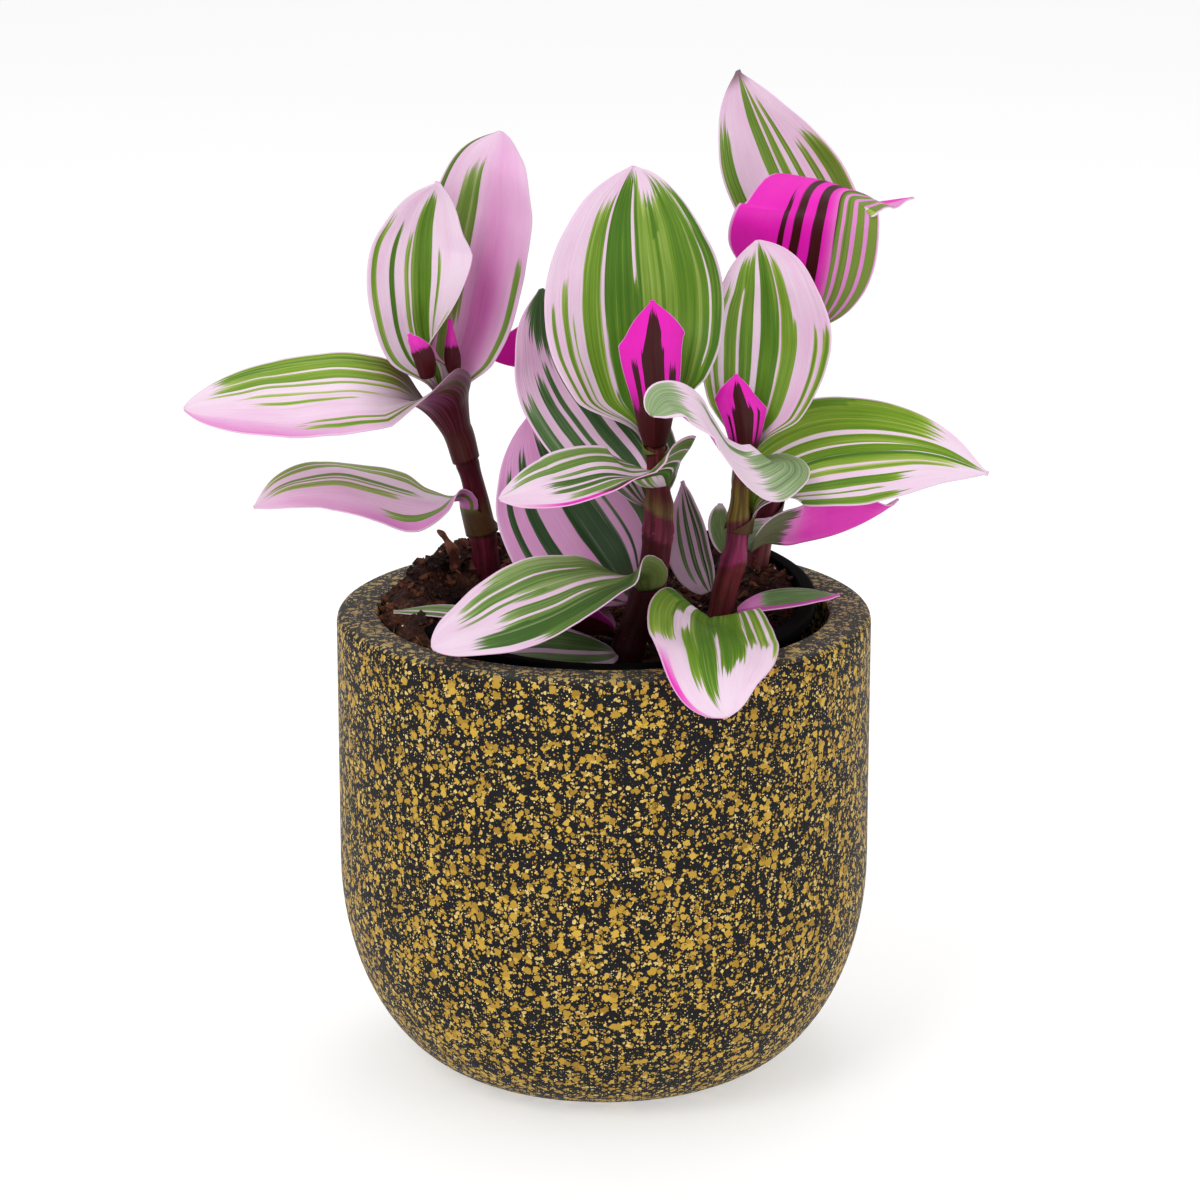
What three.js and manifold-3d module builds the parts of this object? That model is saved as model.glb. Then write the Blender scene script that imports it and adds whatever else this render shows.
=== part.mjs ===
// A potted tradescantia: striped leaves on four stems, in a black nursery pot of soil, in a thick round pot.
// Millimetres, +Z up, origin at the middle of the pot's flat foot, the viewer on the -Y side.
import * as THREE from "three";
import { mergeVertices } from "three/addons/utils/BufferGeometryUtils.js";
import Module from "manifold-3d";

const wasm = await Module();
wasm.setup();

// The outer pot
const potRadius = 75;
const potHeight = 133;
const footRadius = 36;
const footRise = 61;
const insideRadius = 63;
const insideFloorRadius = 30;
const insideRise = 48;
const floorThickness = 14;
const rimRound = 3;
const potSides = 44;

// The nursery pot, which leans towards the viewer, and the soil in it
const nurseryHeight = 111;
const nurseryTop = new THREE.Vector3(1.7, 0, 137.4);
const nurseryLean = 6;
const nurseryRimRadius = 58;
const nurseryLip = 3;
const nurseryWall = 1.3;
const nurseryBaseRadius = 43.9;
const nurserySides = 36;
const soilDepth = 8;
const soilClearance = 0.35;
const soilRings = 9;
const soilSides = 36;

// Stems and leaves: a sheath wraps its stem by sheathTurn degrees to each side at its foot and by mouthTurn at
// its mouth, and a blade narrower than smallWidth has fewer rows and columns than a large one
const stemSides = 10;
const stalkSides = 6;
const holeClearance = 0.35;
const bladeThickness = 0.62;
const sheathGap = 1.05;
const sheathTurn = 160;
const mouthTurn = 50;
const sheathRows = 3;
const tipHalfWidth = 0.7;
const stepsPerSpan = 40;
const smallWidth = 12.5;
const smallRows = 8;
const largeRows = 12;
const smallColumns = 3;
const largeColumns = 4;

const colours = {
  pot: 0x4a4636,
  nursery: 0x17171a,
  soil: 0x33231c,
  stalk: 0x5a3d28,
  stem: 0x6e2838,
  striped: 0xb9bd94,
  pink: 0xd29ab8,
  young: 0xcf1fa0,
};

// Each stem: points from the foot to the tip, and radii spread evenly between them
const stems = {
  stem_left: {
    path: [[-32, 21, 112], [-33, 21, 133.5], [-34.5, 20, 148.5], [-37, 19, 163.5], [-40.5, 18, 176.5],
      [-43.5, 17, 188.5], [-45, 16, 194.5]],
    radii: [4.2, 4.2, 4, 3.6, 3.2, 2.4, 1.4],
  },
  stem_middle: {
    path: [[2, -25, 106], [6.5, -23, 126.5], [11, -21, 139.5], [14, -20, 151.5], [15, -19, 165.5],
      [14.5, -18, 176.5], [14, -17, 186], [14, -17, 191]],
    radii: [4.6, 4.6, 4.5, 4.4, 4.2, 3.6, 2.6, 1.4],
  },
  stem_right: {
    path: [[28, -12, 110], [31.5, -12, 130], [33.5, -11, 140], [36.5, -10, 151.5], [37.5, -10, 163.5],
      [38, -10, 172], [38.5, -11, 179], [38.5, -11, 184]],
    radii: [3.6, 3.6, 3.6, 3.5, 3.3, 2.8, 2.1, 1.2],
  },
  stem_rear: {
    path: [[39, 21, 112], [41.5, 22, 130.5], [44, 24, 142], [47.5, 27, 159], [51, 30, 176], [54.5, 33, 192],
      [57.5, 35, 205], [59, 35, 212]],
    radii: [3.6, 3.6, 3.6, 3.4, 3.2, 3, 2.4, 1.4],
  },
};

// Each leaf: its midrib from the base to the tip, the way its upper side faces along the blade, and for its
// left and right half (seen from the base, upper side up) the width, widest place, width at the base, how fast
// it rises from there, taper and bluntness of the tip, fold and curl in degrees and edge wave [height, count,
// phase]. A number in place of a pair serves both halves, and a list runs along the blade. A leaf with a sheath
// also has its stem, the height at which the sheath begins, its length, how far it still wraps at its mouth in
// degrees, the share of the blade over which it opens out, and whether it widens as a funnel.
const leaves = {
  leaf_left_1: {
    stem: "stem_left", from: 149, sheath: 8, open: 0.3, colour: "striped",
    path: [[-40, 16, 159.5], [-49, 12, 160], [-64, 8, 165], [-77, 5, 168], [-89, 3, 166], [-98, 2, 161]],
    up: [[0, -0.15, 1], [0, -0.3, 1]],
    width: [19, 16], widest: [0.38, 0.5], base: 0.35, blunt: 0.85,
    fold: [[10, -12, -18, -8], [10, 0, -6, -2]], curl: [12, 6], wave: [[1.8, 1.1, 0.55], [0.8, 1.2, 0.1]],
  },
  leaf_left_2: {
    stem: "stem_left", from: 171, sheath: 8, mouth: [140, 60], open: 0.36, funnel: true, colour: "striped",
    path: [[-48, 13, 184], [-52, 10, 188.5], [-60, 6, 192.5], [-73, 2, 194.5], [-87, -1, 194], [-102, -4, 193],
      [-116, -6, 191]],
    up: [[-0.3, -0.2, 1], [0, -0.5, 1], [0, -0.55, 1], [0, -0.5, 1]],
    width: [20, 16], widest: [0.58, 0.62], base: 0.45, blunt: 0.7,
    fold: [[40, -4, -8, -6], [40, 0, -8, -4]], curl: [[60, 14, 14], [30, 6, 6]],
    wave: [[1.2, 1.1, 0.5], [0.8, 1.2, 0.6]],
  },
  leaf_left_3: {
    stem: "stem_left", from: 187.5, sheath: 2.5, open: 0.2, funnel: true, colour: "striped",
    path: [[-46.5, 18.5, 194], [-50, 20.5, 205], [-51, 20, 222], [-50, 19, 238], [-46, 13, 251]],
    up: [[-0.1, -1, 0.3], [0, -1, 0.2], [0, -1, 0.1], [0, -1, 0]],
    width: [16.5, 17], widest: 0.52, base: 0.4, blunt: [1, 0.8],
    fold: [[40, 20, 10, 10], [60, 45, 12, 8]], curl: [20, [120, 60, 20, 20]],
  },
  leaf_left_4: {
    stem: "stem_left", from: 182.5, sheath: 2.5, open: 0.2, colour: "pink",
    path: [[-43.5, 22.5, 191], [-39, 27, 207], [-36, 31, 223], [-33.5, 33, 238], [-32, 34, 252],
      [-29, 40, 261]],
    up: [[-0.2, -1, 0.2], [-0.1, -1, 0.2], [-0.1, -1, 0]],
    width: [18, 16], widest: 0.58, base: 0.3, blunt: [0.8, 0.62],
    fold: [10, 12], curl: [16, 22], wave: [[0, 1, 0], [1.8, 1.6, 0.2]],
  },
  leaf_left_5: {
    colour: "young",
    path: [[-42, 11, 197.5], [-42.5, 10.8, 201.5], [-42.8, 11.8, 207], [-43, 13.6, 212.5]],
    up: [[0, 1, 0]],
    width: [3, 2.6], widest: 0.3, base: 0.7, taper: 1.2, fold: 20, curl: 30,
  },
  leaf_left_6: {
    colour: "young",
    path: [[-49.5, 5.5, 197], [-51, 4, 204], [-54, 5, 210]],
    up: [[0.3, 1, 0]],
    width: 4, widest: 0.5, base: 0.6, fold: 20, curl: 30,
  },
  leaf_middle_1: {
    stem: "stem_middle", from: 180.5, sheath: 3, open: 0.18, colour: "striped",
    path: [[12, -12.5, 187.5], [10, -9, 197], [8, -5, 221], [7, -5, 244], [8, -9, 259]],
    up: [[0, -1, 0.2], [0, -1, 0.1], [0, -1, 0]],
    width: [26, 26.5], widest: [0.48, 0.52], base: 0.2, blunt: [0.82, 0.6],
    fold: [[20, 8, 6, 6], [20, 8, 6, 6]], curl: [24, 26], wave: [[0.8, 1, 0.1], [2.2, 1.4, 0.05]],
  },
  leaf_middle_2: {
    colour: "young",
    path: [[14, -20.4, 186], [14, -25.5, 198], [13, -27, 212], [13, -24, 225]],
    up: [[0, 1, 0]],
    width: [11, 11.5], widest: [0.8, 0.7], base: 0.34, rise: 1.2, blunt: 1, taper: 1.1, fold: 22, curl: 30,
  },
  leaf_middle_3: {
    colour: "striped",
    path: [[17.4, -22.7, 173.5], [16, -27.5, 178], [8.5, -33, 178.5], [-1.5, -38, 180], [-13.5, -45, 179],
      [-28, -50, 176]],
    up: [[-0.2, 0.3, 1], [0, -0.3, 1], [0, -0.2, 1], [0, -0.3, 1]],
    width: [18, 16], widest: [0.5, 0.5], base: [0.5, 0.36], blunt: 0.75,
    fold: [[45, 20, -10, -14], [0, 0, -4, 0]], curl: [[30, 20, 30, 20], [10, 10, 14]],
  },
  leaf_middle_4: {
    colour: "striped",
    path: [[12.9, -14.6, 166], [10, -10, 175], [0, -2, 186], [-12, 6, 202], [-17.5, 8.5, 222]],
    up: [[0.3, -1, 0.4]],
    width: [21, 16], base: 0.15, blunt: 0.8, fold: 8, curl: 20,
  },
  leaf_middle_5: {
    colour: "pink",
    path: [[8, -16.2, 139], [0, -3, 148], [-11, 4, 163], [-21, 7, 186]],
    up: [[-0.1, -1, 0.4]],
    width: 23, base: 0.12, blunt: 0.75, fold: 8, curl: 16,
  },
  leaf_middle_6: {
    colour: "striped",
    path: [[12, -25.9, 144.5], [11, -27, 149], [3, -32, 149.5], [-9, -42, 149], [-25, -50, 144.5],
      [-46, -57, 136.8]],
    up: [[0.2, 1, 0.2], [0, -0.2, 1], [0, -0.5, 1], [0, -0.45, 1], [0, -0.35, 1]],
    width: [15, 17], widest: 0.58, base: [0.22, 0.2], blunt: 0.6,
    fold: [[0, 0, -6, -8], [0, 0, -6, -10]], curl: [[40, 30, 14, 10], [40, 10, 10]],
  },
  leaf_middle_7: {
    colour: "striped",
    path: [[2.9, -26.9, 127], [-8, -34, 129.5], [-20, -38, 131], [-33, -39, 129.5]],
    up: [[0, -0.4, 1], [0, -0.5, 1]],
    width: 10, base: 0.2, fold: 0, curl: 14,
  },
  leaf_middle_8: {
    colour: "young",
    path: [[3, -21.4, 131.5], [-5, -20, 131], [-12, -22, 132], [-20, -23, 136]],
    up: [[0, -0.1, 1]],
    width: 12, base: 0.2, fold: [60, 20], curl: 14,
  },
  leaf_middle_9: {
    colour: "striped",
    path: [[1.6, -22.3, 126], [-10, -20, 129], [-28, -20, 133], [-45, -21, 136.9], [-58, -22, 137.4]],
    up: [[0, -0.3, 1]],
    width: 5, base: 0.3, blunt: 0.8, fold: 4, curl: 12,
  },
  leaf_right_1: {
    stem: "stem_right", from: 175.5, sheath: 2.5, open: 0.2, colour: "striped",
    path: [[40, -7.5, 182], [42, -5, 192], [44, -2, 207], [44, -1, 221], [42, -5, 238]],
    up: [[0, -1, 0.2], [0, -1, 0]],
    width: [19, 20], widest: 0.5, base: 0.3, blunt: [0.8, 0.66],
    fold: [[20, 10, 8], [24, 12, 8]], curl: [24, [60, 26, 24]], wave: [[0.8, 1, 0.1], [2, 1.5, 0.35]],
  },
  leaf_right_2: {
    colour: "young",
    path: [[38.8, -14, 180], [38, -18, 191], [36, -16, 203]],
    up: [[0, 1, 0]],
    width: [9, 9], widest: [0.56, 0.78], base: 0.36, rise: 1.2, blunt: 1, taper: 1.1, fold: 25, curl: 30,
  },
  leaf_right_3: {
    stem: "stem_right", from: 157, sheath: 4, mouth: 60, open: 0.16, funnel: true, colour: "striped",
    path: [[42.5, -8, 167], [47, -5, 171], [60, -2, 176], [77, 0, 178], [94, 0, 176.5], [107, -1, 171.5]],
    up: [[0.1, -0.8, 0.7], [0.1, -0.8, 0.7], [0.1, -0.9, 0.6]],
    width: [17, 19], widest: [0.36, 0.42], base: 0.2, blunt: [1.1, 1],
    fold: [[30, 6, 4], [30, 6, 4]], curl: [14, 10],
  },
  leaf_right_4: {
    colour: "striped",
    path: [[40.4, -11.7, 171], [45, -15.5, 178], [46, -22.5, 179.5], [41, -28.5, 179], [35.5, -34, 182.5],
      [29.5, -40, 191.5], [24.5, -45, 199.5], [16.5, -52, 203.5], [12.5, -57, 200.5]],
    up: [[0, -0.2, 1], [0.3, -0.5, 1], [0.74, -0.15, 0.7], [0.74, -0.15, 0.7], [0.4, -0.4, 0.9],
      [-0.2, -0.7, 0.8]],
    width: [14, 10], widest: 0.6, base: 0.25, blunt: 0.5, fold: 0, curl: 10,
  },
  leaf_right_5: {
    colour: "striped",
    path: [[30.7, -16.3, 131.5], [29, -25, 136.5], [28, -40, 138], [29, -62, 138], [30, -80, 132],
      [32, -85, 126]],
    up: [[0.1, 0, 1], [0.2, -0.3, 1], [0.1, -0.8, 0.5], [0, -1, 0.3]],
    width: 18, widest: 0.55, base: 0.5, blunt: 0.55, fold: [[20, 0, 0], [20, 0, 0]],
    curl: [14, 20],
  },
  leaf_right_6: {
    colour: "striped",
    path: [[37.1, -12.8, 135], [45, -13.2, 136.4], [55, -13, 137.9], [65.5, -12, 139.5]],
    up: [[0, -0.2, 1]],
    width: 6.5, base: 0.2, fold: 10, curl: 14,
  },
  leaf_right_7: {
    colour: "striped",
    path: [[30.3, -7.4, 139.5], [28.4, -2.8, 146], [26, 3, 155], [22, 9, 167]],
    up: [[-0.9, -0.8, 0.3]],
    width: [11, 4.5], widest: 0.45, base: 0.3, fold: 10, curl: 14,
  },
  leaf_right_8: {
    colour: "young",
    path: [[40.6, -8.5, 151], [45, -5.5, 153], [52, -2, 152], [62, 3, 153], [74, 8, 156], [83, 12, 161]],
    up: [[0, 0.3, 1], [0, 0.2, 1]],
    width: [15, 16], base: 0.3, fold: [[30, 10], [30, 50, 50]], curl: [10, 14],
  },
  leaf_right_9: {
    colour: "striped",
    path: [[34, -6.1, 150.5], [32.5, -4.7, 155], [32, -4.3, 159], [32.4, -4.4, 163.8]],
    up: [[0, -1, 0.2]],
    width: 3.2, widest: 0.5, base: 0.5, blunt: 0.6, fold: 0, curl: 14,
  },
  leaf_rear_1: {
    stem: "stem_rear", from: 204.5, sheath: 2.5, open: 0.2, colour: "striped",
    path: [[60.5, 40, 217], [58, 48, 231], [51, 53, 246], [44, 53, 262], [38, 49, 277]],
    up: [[0.1, -1, 0.2]],
    width: 18, widest: [0.6, 0.42], blunt: [0.85, 1.1],
    fold: 10, curl: [16, 20], wave: [[0, 1, 0], [1.8, 1.6, 0.2]],
  },
  leaf_rear_2: {
    colour: "young",
    path: [[58.4, 32.2, 206.4], [61, 25, 216], [63, 19, 228], [64.5, 17, 239.5], [66.5, 22, 246],
      [72.5, 30, 244.5], [80, 38.5, 240.5], [88, 46, 241]],
    up: [[0, 1, 0], [0, 1, 0], [0, 1, 0], [0, 0.6, -0.8], [0, 0, -1], [0, -0.1, -1]],
    width: [13.5, 30], widest: 0.34, base: 0.15, blunt: [1.2, 1.1], fold: 6, curl: [12, 20],
  },
  leaf_rear_3: {
    colour: "young",
    path: [[49.2, 33, 184.5], [43, 35, 188], [32, 39, 192], [14, 41, 195], [-8, 40, 197], [-33, 38, 196.5]],
    up: [[0, -0.5, 1], [0, 0.6, 1], [0, 1, 0.3]],
    width: [17, 10], widest: 0.55, base: 0.15, blunt: [0.6, 0.8], fold: 8, curl: 16,
  },
  leaf_rear_4: {
    stem: "stem_rear", from: 152, sheath: 6, open: 0.22, colour: "striped",
    path: [[53, 38, 164], [66, 45, 168], [82, 50, 167], [96, 52, 161]],
    up: [[0, -0.3, 1]],
    width: 15, fold: 8, curl: 14,
  },
};

const radians = THREE.MathUtils.degToRad;
const lerp = THREE.MathUtils.lerp;
const smooth = THREE.MathUtils.smoothstep;
const vector = (list) => new THREE.Vector3(...list);

// Both halves of a leaf value
const halves = (value) => (Array.isArray(value) ? value : [value, value]);

// The value at share s (0 to 1) of a number or of a list spread evenly
function along(list, s) {
  if (!Array.isArray(list)) return list;
  const place = s * (list.length - 1);
  const step = Math.min(Math.floor(place), list.length - 2);
  if (step < 0) return list[0];
  return lerp(list[step], list[step + 1], place - step);
}

// The same for a list of directions
function directionAlong(list, s) {
  const parts = [0, 1, 2].map((k) => along(list.map((item) => vector(item).normalize().getComponent(k)), s));
  return vector(parts).normalize();
}

// A manifold solid of a closed set of triangles
function solidOf(vertices, triangles) {
  const geometry = new THREE.BufferGeometry();
  const positions = vertices.flatMap((v) => [v.x, v.y, v.z]);
  geometry.setAttribute("position", new THREE.Float32BufferAttribute(positions, 3));
  geometry.setIndex(triangles.flat());
  return solidOfGeometry(geometry);
}

// A manifold solid of a closed three.js geometry
function solidOfGeometry(geometry) {
  geometry.deleteAttribute("normal");
  geometry.deleteAttribute("uv");
  const merged = mergeVertices(geometry, 1e-3);
  const kept = [];
  const index = merged.index.array;
  for (let i = 0; i < index.length; i += 3) {
    const [a, b, c] = [index[i], index[i + 1], index[i + 2]];
    if (a !== b && b !== c && c !== a) kept.push(a, b, c);
  }
  return new wasm.Manifold(new wasm.Mesh({
    numProp: 3,
    vertProperties: new Float32Array(merged.attributes.position.array),
    triVerts: new Uint32Array(kept),
  }));
}

// A named mesh of a manifold solid
function meshOf(name, solid, colour, roughness) {
  const { vertProperties, triVerts } = solid.getMesh();
  const geometry = new THREE.BufferGeometry();
  geometry.setAttribute("position", new THREE.BufferAttribute(vertProperties, 3));
  geometry.setIndex(new THREE.BufferAttribute(triVerts, 1));
  geometry.computeVertexNormals();
  const material = new THREE.MeshStandardMaterial({ color: colour, roughness, metalness: 0, flatShading: true });
  const mesh = new THREE.Mesh(geometry, material);
  mesh.name = name;
  return mesh;
}

// Walls between rings of equal length, with a point at each end
function closedRings(rings, first, last) {
  const sides = rings[0].length;
  const vertices = rings.flat().concat(first, last);
  const firstIndex = vertices.length - 2;
  const lastIndex = vertices.length - 1;
  const lastRing = (rings.length - 1) * sides;
  const triangles = [];
  for (let k = 0; k < sides; k++) {
    const next = (k + 1) % sides;
    triangles.push([firstIndex, next, k], [lastIndex, lastRing + k, lastRing + next]);
    for (let i = 0; i < rings.length - 1; i++) {
      const low = i * sides;
      const high = low + sides;
      triangles.push([low + k, low + next, high + next], [low + k, high + next, high + k]);
    }
  }
  return solidOf(vertices, triangles);
}

// A round bar along a curve, its radius wider by extra, with a flat foot
function barAlong(spec, extra, sides) {
  const curve = new THREE.CatmullRomCurve3(spec.path.map(vector));
  const count = spec.path.length * 2;
  const rings = [];
  for (let i = 0; i <= count; i++) {
    const centre = curve.getPointAt(i / count);
    const tangent = curve.getTangentAt(i / count);
    const side = new THREE.Vector3(1, 0, 0).projectOnPlane(tangent).normalize();
    const front = new THREE.Vector3().crossVectors(tangent, side);
    const radius = along(spec.radii, i / count) + extra;
    rings.push(Array.from({ length: sides }, (_, k) => {
      const angle = (k / sides) * 2 * Math.PI;
      return centre.clone()
        .addScaledVector(side, radius * Math.cos(angle))
        .addScaledVector(front, radius * Math.sin(angle));
    }));
  }
  const foot = curve.getPointAt(0);
  const tip = curve.getPointAt(1).addScaledVector(curve.getTangentAt(1), extra + 0.4);
  return closedRings(rings, foot, tip);
}

// Where a stem is at a height, which way it runs and how thick it is there
function stemAt(name, height) {
  const { path, radii } = stems[name];
  const curve = new THREE.CatmullRomCurve3(path.map(vector));
  const steps = 200;
  const points = curve.getSpacedPoints(steps);
  const found = points.findIndex((point) => point.z >= height);
  const step = found < 0 ? steps : found;
  return {
    point: points[step],
    tangent: curve.getTangentAt(step / steps),
    radius: along(radii, step / steps),
  };
}

// How far a point is from a stem's middle line
function offAxis(name, point) {
  const curve = new THREE.CatmullRomCurve3(stems[name].path.map(vector));
  return Math.min(...curve.getPoints(60).map((p) => p.distanceTo(point)));
}

// What a leaf has where its entry says nothing else
const usualLeaf = {
  widest: 0.42,
  base: 0.35,
  blunt: 1,
  taper: 1.9,
  rise: 2.2,
  mouth: mouthTurn,
  wave: [[0, 0, 0], [0, 0, 0]],
};

// The values of a leaf's left (0) or right (1) half
function halfOf(leaf, side) {
  const whole = { ...usualLeaf, ...leaf };
  const keys = ["width", "widest", "base", "blunt", "taper", "rise", "fold", "curl", "mouth", "wave"];
  return Object.fromEntries(keys.map((key) => [key, halves(whole[key])[side]]));
}

// Width of a half at share s of the blade, as a share of its greatest width
function outline(s, { widest, base, rise, blunt, taper }) {
  if (s < widest) return base + (1 - base) * (1 - ((widest - s) / widest) ** rise) ** 0.8;
  return (1 - ((s - widest) / (1 - widest)) ** taper) ** blunt;
}

// How far out and up the point t (0 to 1) of an arc lies, with its starting slope and whole turn
function arc(length, slope, turn, t) {
  if (Math.abs(turn) < 1e-3) return [length * t * Math.cos(slope), length * t * Math.sin(slope)];
  return [
    (length * (Math.sin(slope + turn * t) - Math.sin(slope))) / turn,
    (length * (Math.cos(slope) - Math.cos(slope + turn * t))) / turn,
  ];
}

// A leaf's midrib, from the foot of its sheath if it has one, with the share at which the blade begins, the
// radius of the sheath and the way from it to the stem
function midribOf(leaf) {
  const points = leaf.path.map(vector);
  let radius = 0;
  let inward = new THREE.Vector3();
  if (leaf.stem) {
    const low = stemAt(leaf.stem, leaf.from);
    const high = stemAt(leaf.stem, leaf.from + leaf.sheath);
    const away = points[0].clone().sub(high.point).projectOnPlane(high.tangent).normalize();
    const awayLow = away.clone().projectOnPlane(low.tangent).normalize();
    radius = Math.max(low.radius, high.radius) + sheathGap + bladeThickness / 2;
    inward = away.clone().negate();
    points.unshift(
      low.point.clone().addScaledVector(awayLow, radius),
      high.point.clone().addScaledVector(away, radius),
    );
  }
  const curve = new THREE.CatmullRomCurve3(points);
  curve.arcLengthDivisions = stepsPerSpan * (points.length - 1);
  const lengths = curve.getLengths();
  const mouth = leaf.stem ? lengths[stepsPerSpan] / lengths[lengths.length - 1] : 0;
  return { curve, mouth, radius, inward };
}

// Rows of points on a leaf's middle surface: the sheath round the stem, then the blade that opens out of it
function leafRows(leaf, rows, columns) {
  const { curve, mouth, radius, inward } = midribOf(leaf);
  const [left, right] = [halfOf(leaf, 0), halfOf(leaf, 1)];
  const steps = Array.from({ length: columns }, (_, k) => (k + 1) / columns);
  const shares = [];
  for (let i = 0; leaf.stem && i < sheathRows; i++) shares.push((mouth * i) / sheathRows);
  for (let i = 0; i <= rows; i++) shares.push(Math.min(1, mouth + ((1 - mouth) * i) / rows));
  return shares.map((share) => {
    const s = Math.max(0, (share - mouth) / (1 - mouth));
    const point = curve.getPointAt(share);
    const forward = curve.getTangentAt(share);
    const opened = leaf.stem ? smooth(s, -0.02, leaf.open) : 1;
    const round = leaf.funnel ? Math.max(radius, offAxis(leaf.stem, point)) : radius;
    const facing = directionAlong(leaf.up, s).multiplyScalar(opened).addScaledVector(inward, 1 - opened);
    const up = facing.projectOnPlane(forward).normalize();
    const across = new THREE.Vector3().crossVectors(forward, up);
    const bent = opened * (1 - smooth(s, 0.75, 1));
    const swell = Math.sqrt(Math.max(0, Math.sin(Math.PI * Math.min(1, s * 1.02)))) * opened;
    const pointAt = (half, sign, t) => {
      const wrap = radians(lerp(sheathTurn, half.mouth, Math.min(1, share / (mouth || 1)))) * (1 - opened);
      const width = Math.max(tipHalfWidth, half.width * outline(s, half)) * opened;
      const slope = radians(along(half.fold, s)) * bent;
      const turn = radians(along(half.curl, s)) * bent + wrap;
      const [out, lift] = arc(width + wrap * round, slope, turn, t);
      const [height, count, phase] = half.wave;
      const ripple = height * t * t * Math.sin(2 * Math.PI * (count * s + phase)) * swell;
      return point.clone().addScaledVector(across, sign * out).addScaledVector(up, lift + ripple);
    };
    return [
      ...steps.map((t) => pointAt(left, -1, t)).reverse(),
      point,
      ...steps.map((t) => pointAt(right, 1, t)),
    ];
  });
}

// A thin closed solid round a grid of points, its triangles split alike on both faces
function thickened(grid, thickness) {
  const rows = grid.length;
  const columns = grid[0].length;
  const normalAt = (i, j) => {
    const across = grid[i][Math.min(j + 1, columns - 1)].clone().sub(grid[i][Math.max(j - 1, 0)]);
    const ahead = grid[Math.min(i + 1, rows - 1)][j].clone().sub(grid[Math.max(i - 1, 0)][j]);
    return across.cross(ahead).normalize();
  };
  const upper = [];
  const lower = [];
  for (let i = 0; i < rows; i++) {
    for (let j = 0; j < columns; j++) {
      const normal = normalAt(i, j);
      upper.push(grid[i][j].clone().addScaledVector(normal, thickness / 2));
      lower.push(grid[i][j].clone().addScaledVector(normal, -thickness / 2));
    }
  }
  const under = rows * columns;
  const triangles = [];
  for (let i = 0; i < rows - 1; i++) {
    for (let j = 0; j < columns - 1; j++) {
      const a = i * columns + j;
      const [b, c, d] = [a + 1, a + columns + 1, a + columns];
      triangles.push([a, b, c], [a, c, d]);
      triangles.push([under + a, under + c, under + b], [under + a, under + d, under + c]);
    }
  }
  const edge = [];
  for (let j = 0; j < columns; j++) edge.push(j);
  for (let i = 1; i < rows; i++) edge.push(i * columns + columns - 1);
  for (let j = columns - 2; j >= 0; j--) edge.push((rows - 1) * columns + j);
  for (let i = rows - 2; i > 0; i--) edge.push(i * columns);
  edge.forEach((a, k) => {
    const b = edge[(k + 1) % edge.length];
    triangles.push([a, under + a, under + b], [a, under + b, b]);
  });
  return solidOf(upper.concat(lower), triangles);
}

// A solid turned round the Z axis from a profile that starts and ends on the axis
function turned(profile, sides) {
  const points = profile.map(([radius, height]) => new THREE.Vector2(radius, height));
  return solidOfGeometry(new THREE.LatheGeometry(points, sides).rotateX(Math.PI / 2));
}

// Points of a quarter ellipse from (inner, low) out and up to (outer, high)
function quarter(inner, low, outer, high, steps) {
  return Array.from({ length: steps + 1 }, (_, k) => {
    const angle = (k / steps) * (Math.PI / 2);
    return [inner + (outer - inner) * Math.sin(angle), high - (high - low) * Math.cos(angle)];
  });
}

function outerPot() {
  const outside = quarter(footRadius, 0, potRadius, footRise, 8);
  const insideLow = floorThickness;
  const inside = quarter(insideFloorRadius, insideLow, insideRadius, insideLow + insideRise, 6).reverse();
  const profile = [
    [0, 0],
    ...outside,
    [potRadius, potHeight - rimRound],
    [potRadius - rimRound * 0.3, potHeight - rimRound * 0.3],
    [potRadius - rimRound, potHeight],
    [insideRadius + 1.5, potHeight],
    [insideRadius, potHeight - 1.5],
    ...inside,
    [0, insideLow],
  ];
  return meshOf("pot", turned(profile, potSides), colours.pot, 0.45);
}

// The nursery pot's own frame: its axis runs from the middle of its base to the middle of its rim
const nurseryAxis = new THREE.Vector3(0, -Math.sin(radians(nurseryLean)), Math.cos(radians(nurseryLean)));
const nurseryBase = nurseryTop.clone().addScaledVector(nurseryAxis, -nurseryHeight);

function placeNursery(mesh) {
  mesh.position.copy(nurseryBase);
  mesh.rotation.x = radians(nurseryLean);
  return mesh;
}

// Outside radius of the nursery pot's wall at a height above its base
const nurseryRadius = (height) =>
  lerp(nurseryBaseRadius, nurseryRimRadius - nurseryLip, height / nurseryHeight);

function nurseryPot() {
  const top = nurseryHeight;
  const profile = [
    [0, 0],
    [nurseryBaseRadius - 2, 0],
    [nurseryRadius(2), 2],
    [nurseryRadius(top - 4), top - 4],
    [nurseryRimRadius - 0.4, top - 4],
    [nurseryRimRadius, top - 0.8],
    [nurseryRimRadius - 0.8, top],
    [nurseryRadius(top) - nurseryWall, top],
    [nurseryRadius(nurseryWall) - nurseryWall, nurseryWall],
    [0, nurseryWall],
  ];
  return placeNursery(meshOf("nursery_pot", turned(profile, nurserySides), colours.nursery, 0.5));
}

// Height of the soil above its mean level, in the nursery pot's frame: gentle bumps, a mound at the left back,
// a lower one at the right, and hollows at the front, at the left and at the right back
function soilRelief(x, y) {
  const spot = (cx, cy, size) => Math.exp(-((x - cx) ** 2 + (y - cy) ** 2) / (size * size));
  const bumps = 1.2 * Math.sin(x / 5.1 + 1) * Math.cos(y / 6.3) + 0.8 * Math.sin(x / 2.9 + y / 3.7);
  const hollows = 8 * spot(-4, -34, 22) + 5 * spot(33, 34, 13) + 6 * spot(-45, 8, 6);
  return bumps + 15 * spot(-41, 26, 9) + 8 * spot(44, 22, 8) - hollows;
}

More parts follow.
